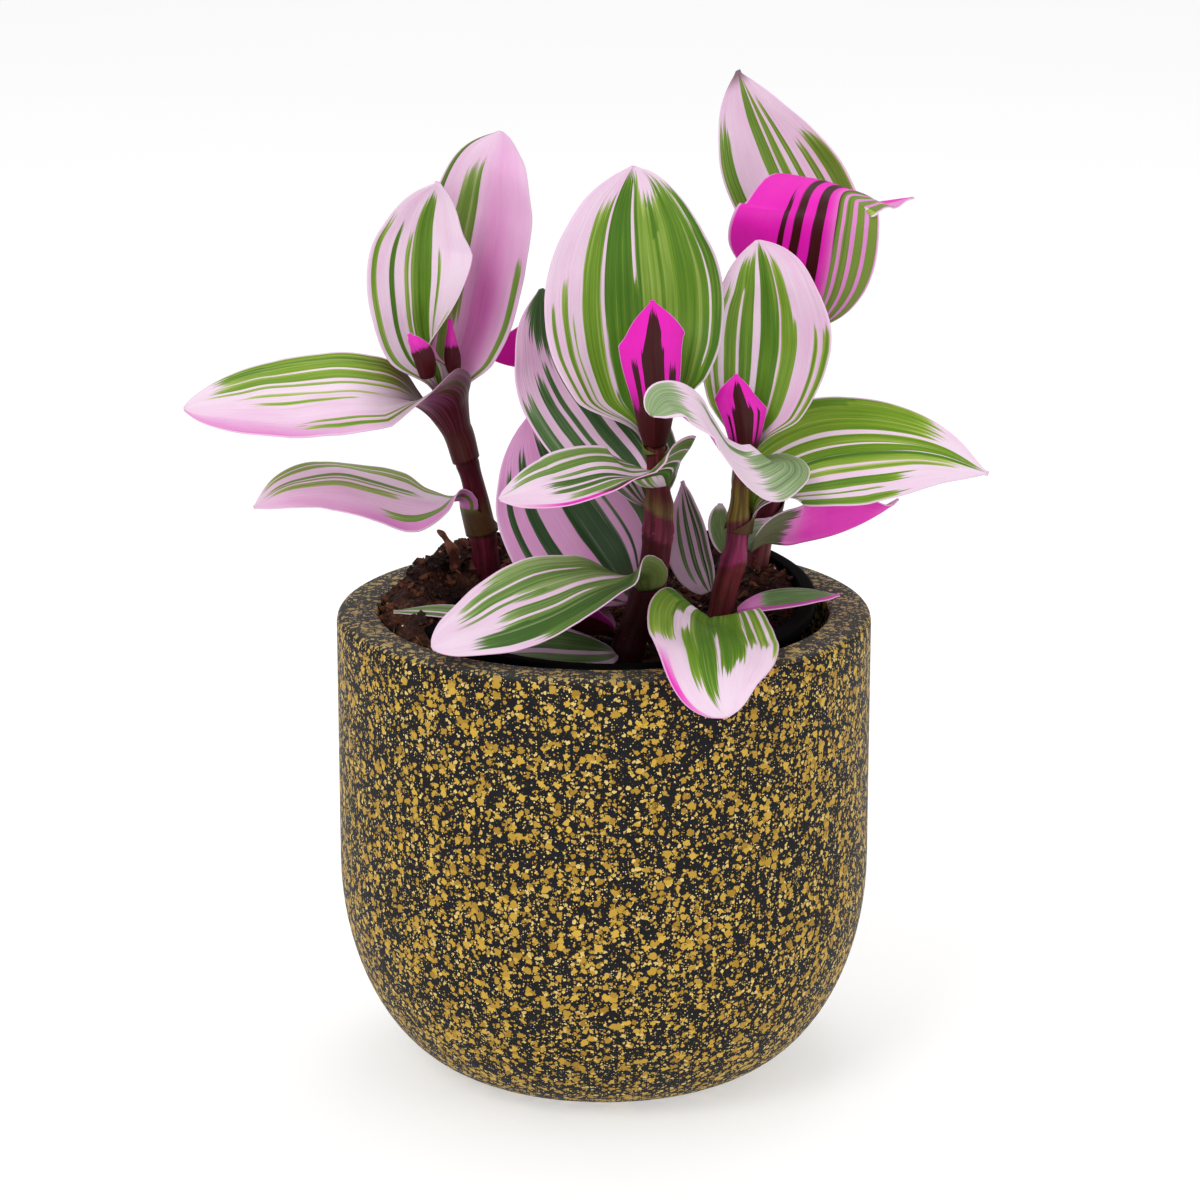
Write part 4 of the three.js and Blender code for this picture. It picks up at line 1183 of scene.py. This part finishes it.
        "blunt": [0.6, 0.8], "fold": 8, "curl": 16,
    },
    "leaf_rear_4": {
        "stem": "stem_rear", "from": 152, "sheath": 6, "open": 0.22,
        "path": [[53, 38, 164], [66, 45, 168], [82, 50, 167], [96, 52, 161]], "up": [[0, -0.3, 1]],
        "width": 15, "fold": 8, "curl": 14,
    },
}
# Markings. bands: from and to across (-1 left margin, 1 right), from and to along the blade, tone (0 pale
# sage, 1 deep). gaps: pale lines in the bands. pink and hot: of the left and right half. blush: across,
# along, size and strength. bronze tints the foot as far as base, sheath the part round the stem. fresh:
# lime, not grey green. flips: places where the margin rolls over and shows the underside's colour. bare:
# how far the underside's foot looks like the upper side.
leafMarks = {
    "leaf_left_1": {
        "bands": [[0.62, 0.98, 0, 0.92, 0.35], [0.1, 0.34, 0.26, 0.93, 0.65],
            [-0.14, 0.05, 0.36, 0.9, 0.25], [-0.74, -0.5, -0.1, 0.42, 0.55]],
        "gaps": [[0.79, 0.81, 0, 0.9], [0.18, 0.2, 0.3, 0.9]], "pink": [0.6, 0.35],
        "blush": [[-1, 0.35, 0.4, 1.0]], "fresh": 0.8,
    },
    "leaf_left_2": {
        "bands": [[0.36, 0.98, 0.0, 0.88, 0.5], [0.75, 0.9, 0.1, 0.8, 0.9], [0.2, 0.28, 0.1, 0.9, 0.2],
            [-0.02, 0.04, 0.3, 0.8, 0.4], [-0.2, -0.14, 0.4, 0.75, 0.3], [-0.84, -0.6, 0.08, 0.6, 0.55]],
        "gaps": [[0.6, 0.612, 0.2, 0.95], [-0.72, -0.69, 0.1, 0.6]], "pink": [0.45, 0.3],
        "blush": [[-1, 0.8, 0.35, 1.2]], "bronze": 1.0, "base": 0.3, "fresh": 1.0, "hot": [0.5, 0.4],
    },
    "leaf_left_3": {
        "bands": [[-0.93, -0.82, 0, 0.78, 0.5], [-0.58, -0.48, 0.05, 0.76, 0.85],
            [-0.31, -0.23, 0.05, 0.72, 0.45], [-0.19, 0.2, 0, 0.93, 0.7], [0.32, 0.38, 0.05, 0.64, 0.45],
            [0.84, 1, 0, 0.42, 0.45]],
        "pink": [0.45, 0.4], "fresh": 0.8,
    },
    "leaf_left_4": {
        "bands": [[-0.97, -0.87, 0.55, 1, 0.8], [-0.52, -0.16, 0.28, 0.86, 0.55],
            [-0.5, -0.28, 0, 0.34, 0.35], [0.78, 0.92, 0, 0.54, 0.5]],
        "pink": [0.55, 0.75], "blush": [[0.25, 0.35, 0.4, 1.0]], "bronze": 0.2, "base": 0.08,
        "hot": [0.6, 0.6],
    },
    "leaf_left_5": {"bands": [[-1, 1, -0.2, 0.5, 0.8]], "bronze": 0.8, "base": 0.5, "hot": [0.8, 0.8]},
    "leaf_left_6": {"bands": [[-1, 1, -0.2, 0.62, 0.8]], "bronze": 0.9, "base": 0.6, "hot": [0.8, 0.8]},
    "leaf_middle_1": {
        "bands": [[-0.93, -0.88, 0.1, 0.5, 0.55], [-0.8, -0.74, 0, 0.6, 0.5], [-0.69, -0.65, 0, 0.46, 0.5],
            [-0.57, -0.33, 0, 0.86, 0.55], [-0.53, -0.49, 0.3, 0.7, 0.95], [-0.32, 0.14, 0, 0.97, 0.85],
            [0.12, 0.52, 0, 0.9, 0.4], [0.28, 0.36, 0.1, 0.85, 0.85], [0.5, 0.99, 0, 0.95, 0.7],
            [0.88, 1.1, 0, 0.9, 0.95]],
        "gaps": [[-0.335, -0.315, 0.2, 0.95], [0.03, 0.04, 0.6, 0.9], [0.84, 0.85, 0.3, 0.9]],
        "pink": [0.55, 0.4], "base": 0.08, "fresh": 0.85, "sheath": 0.35,
    },
    "leaf_middle_2": {
        "bands": [[-0.24, 0.2, -0.1, 0.94, 0.9], [-0.34, 0.3, -0.1, 0.7, 0.9], [0.42, 0.62, -0.1, 0.6, 0.9],
            [-0.76, -0.5, -0.1, 0.55, 0.9], [-1, 1, -0.2, 0.26, 0.9]],
        "bronze": 0.95, "base": 0.3, "hot": [1, 1],
    },
    "leaf_middle_3": {
        "bands": [[0.7, 0.93, 0, 0.88, 0.45], [0.4, 0.62, 0, 0.92, 0.5], [0.14, 0.26, 0.1, 0.7, 0.4],
            [-0.36, 0.05, -0.2, 0.74, 0.85], [-0.66, -0.42, -0.2, 0.7, 0.5], [-0.95, -0.7, -0.2, 0.6, 0.6]],
        "gaps": [[-0.2, -0.17, 0.1, 0.7]], "flips": [[-1.2, -0.8, 0.34, 0.86]], "bare": 1.0,
        "pink": [0.45, 0.4], "bronze": 0.2, "base": 0.06, "hot": [1, 0.7], "fresh": 0.5,
    },
    "leaf_middle_4": {
        "bands": [[-0.92, 1, 0.93, 1.2, 0.8], [-0.78, 1, 0.88, 1.2, 0.85], [-0.62, 1, 0.83, 1.2, 0.8],
            [-0.42, 1, 0.78, 1.2, 0.85], [-0.2, 1, 0.72, 1.2, 0.85], [0.55, 1, 0, 1.1, 0.75],
            [0.18, 0.42, 0, 0.86, 0.9], [-0.16, 0.05, 0, 0.8, 0.85], [-0.38, -0.29, 0, 0.7, 0.7],
            [-0.6, -0.45, 0, 0.66, 0.75], [-0.97, -0.74, 0, 0.62, 0.6]],
        "gaps": [[0.75, 0.78, 0.2, 0.9]], "pink": [0.65, 0.6], "hot": [0.6, 0.6], "fresh": 0.05,
    },
    "leaf_middle_5": {
        "bands": [[0.66, 1, 0, 0.9, 0.7], [0.42, 0.46, 0, 0.8, 0.95], [-0.1, 0.33, 0, 0.9, 1],
            [-0.56, -0.4, 0, 0.85, 0.95], [-0.82, -0.73, 0.05, 0.8, 0.9]],
        "pink": [1.2, 1.05], "bronze": 0.4, "base": 0.15, "hot": [0.6, 0.6], "fresh": 0,
    },
    "leaf_middle_6": {
        "bands": [[0.74, 0.97, 0, 0.68, 0.35], [0.36, 0.78, 0, 0.84, 0.55], [0.12, 0.4, 0, 0.6, 0.35],
            [0.2, 0.28, 0.5, 0.86, 0.5], [-0.4, 0.04, 0, 0.72, 0.5], [-0.82, -0.36, 0, 0.84, 0.9],
            [-0.98, -0.78, 0, 0.62, 0.7], [-1.2, 1.2, -0.2, 0.17, 0.45]],
        "gaps": [[-0.24, -0.21, 0.4, 0.8], [0.58, 0.6, 0.3, 0.8]], "bare": 1.0, "pink": [0.4, 0.45],
        "bronze": 0.45, "base": 0.14, "hot": [0.7, 0.7], "fresh": 0.45,
    },
    "leaf_middle_7": {
        "bands": [[0.05, 0.85, 0, 0.9, 0.6], [-0.7, -0.2, 0, 0.9, 0.4]], "pink": [0.6, 0.6],
        "hot": [0.6, 0.6], "fresh": 0.2,
    },
    "leaf_middle_8": {
        "bands": [[-0.6, 0.6, 0, 0.9, 0.8]], "pink": [1.6, 1.6], "hot": [0.9, 0.9], "bronze": 0.6,
        "base": 0.5,
    },
    "leaf_middle_9": {
        "bands": [[-0.95, -0.25, 0, 1.2, 0.6], [0.05, 0.95, 0, 1.2, 0.4]], "fresh": 0.3, "pink": [0.5, 0.5],
    },
    "leaf_right_1": {
        "bands": [[-1, -0.86, 0, 0.42, 0.5], [-0.8, -0.71, 0.05, 0.82, 0.5], [-0.63, -0.17, 0, 0.93, 0.7],
            [-0.07, 0.22, 0, 0.96, 0.75], [0.25, 0.41, 0, 0.9, 0.5], [0.43, 0.48, 0.1, 0.62, 0.6],
            [0.74, 1, -0.1, 0.58, 0.5]],
        "gaps": [[0.83, 0.86, 0, 0.55], [-0.41, -0.39, 0.2, 0.75]], "pink": [0.45, 0.6], "fresh": 0.9,
        "sheath": 0.6,
    },
    "leaf_right_2": {
        "bands": [[-0.22, 0.22, -0.1, 0.9, 1], [-0.38, 0.38, -0.1, 0.66, 1], [0.5, 0.62, -0.1, 0.56, 0.9],
            [-0.66, -0.54, -0.1, 0.6, 0.9], [-1, 1, -0.2, 0.2, 0.9]],
        "bronze": 0.95, "base": 0.26, "hot": [0.9, 0.9],
    },
    "leaf_right_3": {
        "bands": [[-0.99, -0.4, 0, 0.78, 0.5], [-0.98, -0.8, 0, 0.6, 0.8], [-0.33, 0.0, 0, 0.95, 0.6],
            [0.02, 0.13, 0, 0.97, 0.9], [0.12, 0.36, 0, 0.88, 0.35], [0.46, 0.64, 0, 0.68, 0.65],
            [0.7, 0.75, 0, 0.58, 0.55], [0.84, 0.99, 0, 0.66, 0.65]],
        "gaps": [[-0.16, -0.15, 0.3, 0.9], [0.235, 0.25, 0.1, 0.9]], "pink": [0.35, 0.4], "base": 0.08,
        "fresh": 1.0,
    },
    "leaf_right_4": {
        "bands": [[-0.8, 0.9, 0.82, 1.1, 0.2], [-1, 0.5, -0.1, 0.34, 0.3], [0.5, 0.72, 0.3, 0.7, 0.3]],
        "pink": [0.35, 0.35], "hot": [0.1, 0.1], "fresh": 0.2,
    },
    "leaf_right_5": {
        "bands": [[0.58, 1.2, -0.2, 0.62, 0.45], [0.44, 1.2, -0.2, 0.3, 0.85],
            [-0.02, 0.3, -0.1, 0.92, 0.8], [0.26, 0.46, 0.46, 0.86, 0.65], [-0.3, 0.06, -0.1, 0.8, 0.8],
            [-0.5, -0.2, -0.1, 0.74, 0.85], [-0.68, -0.46, -0.1, 0.6, 0.65],
            [-0.86, -0.72, -0.1, 0.62, 0.55], [-1.1, -0.92, -0.1, 0.74, 0.55]],
        "gaps": [[-0.1, -0.07, 0.5, 0.95], [-0.58, -0.56, 0.2, 0.7]], "flips": [[0.84, 1.2, 0.8, 0.96]],
        "pink": [0.35, 0.4], "blush": [[1, 0.84, 0.1, 1.9]], "bronze": 0.1, "base": 0.04, "hot": [0.9, 1.0],
        "fresh": 0.95,
    },
    "leaf_right_6": {
        "bands": [[-1, 0.2, 0.24, 0.95, 0.45]], "pink": [1.6, 2.4], "hot": [0.8, 0.8], "fresh": 0.1,
    },
    "leaf_right_7": {
        "bands": [[-0.62, -0.5, 0.1, 0.8, 0.4], [-0.36, -0.22, 0, 0.92, 0.6], [-0.1, 0.12, 0, 0.95, 0.8],
            [0.3, 0.8, 0, 0.92, 0.5]],
        "pink": [0.6, 0.6], "fresh": 0.1,
    },
    "leaf_right_8": {
        "bands": [[-1.2, 1.2, -0.2, 0.2, 0.3]], "pink": [0.9, 0.9], "bronze": 0.1, "base": 0.05,
        "hot": [0.6, 0.8], "fade": True, "fresh": 0.0,
    },
    "leaf_right_9": {"bands": [[-0.8, 0.8, -0.1, 0.9, 0.3]], "fresh": 0.3, "pink": [0.3, 0.3], "bronze": 0},
    "leaf_rear_1": {
        "bands": [[-0.98, -0.72, 0, 0.82, 0.6], [-0.2, 0.18, 0, 0.97, 0.45], [0.26, 0.36, 0, 0.86, 0.45],
            [0.5, 0.62, 0, 0.64, 0.5], [0.7, 0.97, 0, 0.68, 0.5]],
        "gaps": [[0, 0.03, 0, 0.9]], "pink": [0.5, 0.45], "bronze": 0.2, "tip": 0.8, "fresh": 0.75,
    },
    "leaf_rear_2": {
        "bands": [[0.46, 0.51, 0.3, 0.56, 0.9], [0.3, 0.39, 0.1, 0.8, 0.9], [0.1, 0.21, 0, 0.88, 0.95],
            [-0.12, -0.02, 0, 0.86, 0.9], [-0.36, -0.2, 0, 0.8, 0.7], [-0.64, -0.46, 0, 0.76, 0.4],
            [-0.95, -0.74, 0, 0.82, 0.2]],
        "bronze": 0.2, "base": 0.06, "hot": [0.0, 1], "fresh": 1.0,
    },
    "leaf_rear_3": {"hot": [1.2, 1.2], "pink": [1.8, 1.8], "fresh": 0.2},
    "leaf_rear_4": {
        "bands": [[-0.8, -0.3, 0, 0.85, 0.6], [0.0, 0.25, 0, 0.9, 0.7], [0.5, 0.8, 0, 0.8, 0.5]],
        "pink": [0.5, 0.5], "fresh": 0.4,
    },
}
usualLeaf = {
    "kind": "striped", "widest": 0.42, "base": 0.35, "blunt": 1, "taper": 1.9, "rise": 2.2, "mouth": 50,
    "wave": [[0, 0, 0], [0, 0, 0]],
}
usualMarks = {
    "bands": [], "gaps": [], "pink": [0.4, 0.4], "blush": [], "bronze": 0.3, "base": 0.1, "tip": 0.0,
    "hot": [0.4, 0.4], "fresh": 0.6, "sheath": 0.85, "flips": [], "bare": 0.0,
}
bladeShape = {
    "rows": 72,
    "columns": 34,  # on each half
    "smallColumns": 18,
    "smallWidth": 12.5,
    "sheathRows": 10,
    "thickness": 0.62,
    "marginThickness": 0.3,
    "sheathGap": 0.8,
    "footGap": 0.4,  # the sheath's foot hugs the stem
    "sheathTurn": 160,
    "tip": 0.7,  # half width of the very tip
    "midrib": 0.5,  # depth of the groove along the middle
    "unrest": 0.35,  # height of the small unevenness
    "unrestScale": 0.09,
    "fullWidth": 16,  # a narrower blade has a weaker groove and unevenness
    "stripeEdge": 9,  # how sharply a stripe ends sideways
}


def directionAt(directions, s):
    listed = [unit(d) for d in directions]
    return unit([along([d[k] for d in listed], s) for k in range(3)])


def flattened(v, normal):
    return unit(v - normal * np.dot(v, normal))


def stemAt(name, height):  # the stem's middle, direction and radius there
    curve = Curve(stems[name]["path"])
    shares = np.linspace(0, 1, 201)
    points = np.array([curve.at(share) for share in shares])
    above = np.nonzero(points[:, 2] >= height)[0]
    step = above[0] if len(above) else 200
    return points[step], curve.tangent(step / 200), along(stems[name]["radii"], step / 200)


def halfOf(leaf, side):
    keys = ["width", "widest", "base", "blunt", "taper", "rise", "fold", "curl", "mouth", "wave"]
    return {key: leaf[key][side] if isinstance(leaf[key], list) else leaf[key] for key in keys}


def outline(s, half):
    if s < half["widest"]:
        risen = (1 - ((half["widest"] - s) / half["widest"]) ** half["rise"]) ** 0.8
        return half["base"] + (1 - half["base"]) * risen
    return (1 - ((s - half["widest"]) / (1 - half["widest"])) ** half["taper"]) ** half["blunt"]


def bladeRows(leaf, shape, columns):  # the blade's middle surface, with its places across and along
    points = [np.array(p, float) for p in leaf["path"]]
    radius, footRadius, inward, mouth = 0.0, 0.0, np.zeros(3), 0.0
    if "stem" in leaf:
        low = stemAt(leaf["stem"], leaf["from"])
        high = stemAt(leaf["stem"], leaf["from"] + leaf["sheath"])
        away = flattened(points[0] - high[0], high[1])
        radius = max(low[2], high[2]) + shape["sheathGap"] + shape["thickness"] / 2
        footRadius = low[2] + shape["footGap"] + shape["thickness"] / 2
        inward = -away
        points = [low[0] + flattened(away, low[1]) * footRadius, high[0] + away * radius, *points]
        stemCurve = Curve(stems[leaf["stem"]]["path"])
        stemMiddle = np.array([curvePoint(stemCurve.points, t) for t in np.linspace(0, 1, 61)])
    curve = Curve(points, 40 * (len(points) - 1))
    if "stem" in leaf:
        mouth = curve.lengths[40] / curve.lengths[-1]
    left, right = halfOf(leaf, 0), halfOf(leaf, 1)
    steps = np.linspace(0, 1, columns + 1)[1:]
    shares = [mouth * i / shape["sheathRows"] for i in range(shape["sheathRows"])] if "stem" in leaf else []
    shares += [min(1.0, mouth + (1 - mouth) * i / shape["rows"]) for i in range(shape["rows"] + 1)]
    rows, places = [], []
    for share in shares:
        s = max(0.0, (share - mouth) / (1 - mouth))
        point, forward = curve.at(share), curve.tangent(share)
        opened = float(smooth(-0.02, leaf["open"], s)) if "stem" in leaf else 1.0
        around = footRadius + (radius - footRadius) * min(1.0, share / (mouth or 1))
        if leaf.get("funnel"):
            around = max(around, float(np.min(np.linalg.norm(stemMiddle - point, axis=1))))
        up = flattened(directionAt(leaf["up"], s) * opened + inward * (1 - opened), forward)
        across = np.cross(forward, up)
        bent = opened * (1 - float(smooth(0.75, 1, s)))
        swell = math.sqrt(max(0.0, math.sin(math.pi * min(1.0, s * 1.02)))) * opened

        def strip(half, sign):
            filled = min(1.0, share / (mouth or 1))
            turned = shape["sheathTurn"] + (half["mouth"] - shape["sheathTurn"]) * filled
            wrap = math.radians(turned) * (1 - opened)
            width = max(shape["tip"], half["width"] * outline(s, half)) * opened
            slope = math.radians(along(half["fold"], s)) * bent
            turn = math.radians(along(half["curl"], s)) * bent + wrap
            length = width + wrap * around
            if abs(turn) < 1e-3:
                out, lift = length * steps * math.cos(slope), length * steps * math.sin(slope)
            else:
                out = length * (np.sin(slope + turn * steps) - math.sin(slope)) / turn
                lift = length * (math.cos(slope) - np.cos(slope + turn * steps)) / turn
            height, count, phase = half["wave"]
            lift = lift + height * steps**2 * math.sin(2 * math.pi * (count * s + phase)) * swell
            return point + sign * out[:, None] * across + lift[:, None] * up

        rows.append(np.concatenate([strip(left, -1)[::-1], [point], strip(right, 1)]))
        places.append((share - mouth) / (1 - mouth))
    return np.array(rows), np.r_[-steps[::-1], 0, steps], np.array(places)


def normalsOf(grid):
    across = np.gradient(grid, axis=1)
    ahead = np.gradient(grid, axis=0)
    normals = np.cross(across, ahead)
    return normals / np.maximum(np.linalg.norm(normals, axis=2, keepdims=True), 1e-9)


def within(left, right, start, end, u, v, slope):  # how far inside such a strip, below 0 outside it
    return np.minimum(np.minimum(u - left, right - u), np.minimum(v - start, end - v) * slope)


def stripeFields(marks, u, v, edge):  # how far inside a green stripe (0.5 at its edge), and its tone
    green = np.zeros(u.shape)
    tone = np.full(u.shape, 0.4)
    for left, right, start, end, depth in marks["bands"]:
        level = np.clip(0.5 + edge * within(left, right, start, end, u, v, 0.25), 0, 1)
        tone = np.where(level > np.maximum(green - 0.25, 0.02), depth, tone)
        green = np.maximum(green, level)
    for gap in marks["gaps"]:
        green = np.minimum(green, 1 - np.clip(0.5 + edge * (within(*gap, u, v, 0.4) + 0.012), 0, 0.85))
    return green, tone


def makeLeaf(name, leaf, number, shape, material):
    leaf = {**usualLeaf, **leaf}
    width = max(np.max(np.abs(halfOf(leaf, side)["width"])) for side in (0, 1))
    columns = shape["columns"] if width >= shape["smallWidth"] else shape["smallColumns"]
    grid, acrossPlaces, alongPlaces = bladeRows(leaf, shape, columns)
    marks = {**usualMarks, **leafMarks.get(name, {})}
    u = np.broadcast_to(acrossPlaces[None, :], grid.shape[:2])
    v = np.broadcast_to(alongPlaces[:, None], grid.shape[:2])
    normals = normalsOf(grid)
    small = min(1.0, width / shape["fullWidth"])
    opened = smooth(0.0, 0.2, v) * (1 - smooth(0.9, 1.0, v))
    shift = Vector((number * 3.1, 0, 0))
    unrest = [noise.noise(Vector(p) * shape["unrestScale"] + shift) for p in grid.reshape(-1, 3)]
    lift = np.reshape(unrest, u.shape) * shape["unrest"] * 2 * small
    lift = lift - shape["midrib"] * small * np.exp(-((u / 0.055) ** 2)) * (1 - smooth(0.5, 0.95, v))
    grid = grid + normals * (lift * opened)[..., None]
    normals = normalsOf(grid)
    thin = shape["marginThickness"] / shape["thickness"]
    half = shape["thickness"] / 2 * (1 - (1 - thin) * smooth(0.75, 1.0, np.abs(u)))[..., None]
    upper, lower = grid + normals * half, grid - normals * half

    def bothSheets(values):
        return np.tile(np.ravel(values), 2)

    side = smooth(-0.15, 0.15, u)
    green, tone = stripeFields(marks, u, v, shape["stripeEdge"])
    bronze = marks["bronze"] * (1 - smooth(marks["base"] * 0.3, marks["base"] * 1.5, v))
    bronze = np.maximum(bronze, marks["tip"] * smooth(0.93, 1.0, v))
    if "stem" in leaf:
        sheath = 1 - smooth(-0.02, 0.05, v)
        bronze = np.maximum(bronze, marks["sheath"] * sheath)
        green = np.maximum(green, sheath)
        tone = tone + (0.6 - tone) * sheath
    heat = marks["hot"][0] * (1 - side) + marks["hot"][1] * side
    if marks.get("fade", leaf["kind"] != "young"):
        heat = heat * smooth(0.08, 0.4, v)
    turned = np.zeros(u.shape)
    for flip in marks["flips"]:
        turned = np.maximum(turned, np.clip(0.5 + 25 * within(*flip, u, v, 0.2), 0, 1))
    pink = marks["pink"][0] * (1 - side) + marks["pink"][1] * side
    for middle, place, size, strength in marks["blush"]:
        pink = pink + strength * np.exp(-(((u - middle) / size) ** 2) - ((v - place) / size) ** 2)
    values = {
        "green": bothSheets(green),
        "tone": bothSheets(tone),
        "bronze": bothSheets(bronze),
        "pink": bothSheets(pink),
        "hot": bothSheets(heat),
        "under": np.r_[turned.ravel(), (1 - marks["bare"] * (1 - smooth(0.2, 0.4, v))).ravel()],
        "fresh": np.full(2 * u.size, marks["fresh"]),
        "seed": np.full(2 * u.size, number * 7.3),
    }
    sheet = np.stack([bothSheets((u + 1) / 2), bothSheets(v)], axis=1)
    vertices = np.concatenate([upper.reshape(-1, 3), lower.reshape(-1, 3)])
    faces = sheetFaces(*u.shape, False)
    placed(name + "_blade", vertices, faces, material, "leaf_" + leaf["kind"], [name], values, sheet)


leafSkin = leafMaterial(leafFinish)
for number, (name, leaf) in enumerate(leaves.items()):
    makeLeaf(name, leaf, number, bladeShape, leafSkin)
print("leaves made", len(leaves))


# The stage: floor, lights and camera, lengths in metres but for the camera's.
floorLook = {"size": 6.0, "dark": "#c9c9c9", "light": "#cdcdcd", "rough": 0.9, "specular": 0.1, "glow": 0.5}
lights = {
    "key": {"place": (-0.7, -1.1, 1.2), "size": 0.7, "power": 9},
    "fill": {"place": (1.2, -0.9, 0.6), "size": 0.9, "power": 3},
    "top": {"place": (0.1, 0.5, 1.6), "size": 0.8, "power": 5},
}
lightsAim = (0, 0, 0.15)
worldStrength = 0.72
view = {"target": (-1.1, 0, 134.8), "distance": 1150, "elevation": 15.2, "lens": 122.8, "sensor": 36}


def aimed(thing, place, target):
    thing.location = place
    thing.rotation_euler = (Vector(target) - Vector(place)).to_track_quat("-Z", "Y").to_euler()


def makeFloor(look):
    size = look["size"]
    mesh = bpy.data.meshes.new("floor")
    corners = [(-size, -size, 0), (size, -size, 0), (size, size, 0), (-size, size, 0)]
    mesh.from_pydata(corners, [], [(0, 1, 2, 3)])
    fixed = {
        "Roughness": look["rough"],
        "Specular IOR Level": look["specular"],
        "Emission Color": (1, 1, 1, 1),
        "Emission Strength": look["glow"],
    }
    material, board = newMaterial("paleFloor", fixed)
    tone = board.noise(board.objectPlace(), 3.0, 2.0)
    feed(board, colour=board.mix(tone, hexColour(look["dark"]), hexColour(look["light"])))
    mesh.materials.append(material)
    floor = linked("floor", mesh)


def areaLight(name, lamp):
    data = bpy.data.lights.new(name, "AREA")
    data.size = lamp["size"]
    data.energy = lamp["power"]
    aimed(linked(name, data), lamp["place"], lightsAim)


def makeWorld(strength):  # white to the camera, dimmer as a light
    world = bpy.data.worlds.new("studio")
    world.use_nodes = True
    board = Board(world.node_tree)
    seen = board.put("ShaderNodeLightPath")
    background = world.node_tree.nodes["Background"]
    board.tree.links.new((strength + seen * (1 - strength)).socket, background.inputs[1])
    background.inputs[0].default_value = (1, 1, 1, 1)
    bpy.context.scene.world = world


def makeCamera(view):
    rise = math.radians(view["elevation"])
    target = Vector(view["target"]) * mm
    place = target + Vector((0, -math.cos(rise), math.sin(rise))) * view["distance"] * mm
    data = bpy.data.cameras.new("camera")
    data.lens = view["lens"]
    data.sensor_width = view["sensor"]
    data.clip_end = 50
    camera = linked("camera", data)
    aimed(camera, place, target)
    bpy.context.scene.camera = camera


makeFloor(floorLook)
makeWorld(worldStrength)
for name, lamp in lights.items():
    areaLight(name, lamp)
bpy.context.scene.view_settings.view_transform = "Standard"
makeCamera(view)
print("stage made")
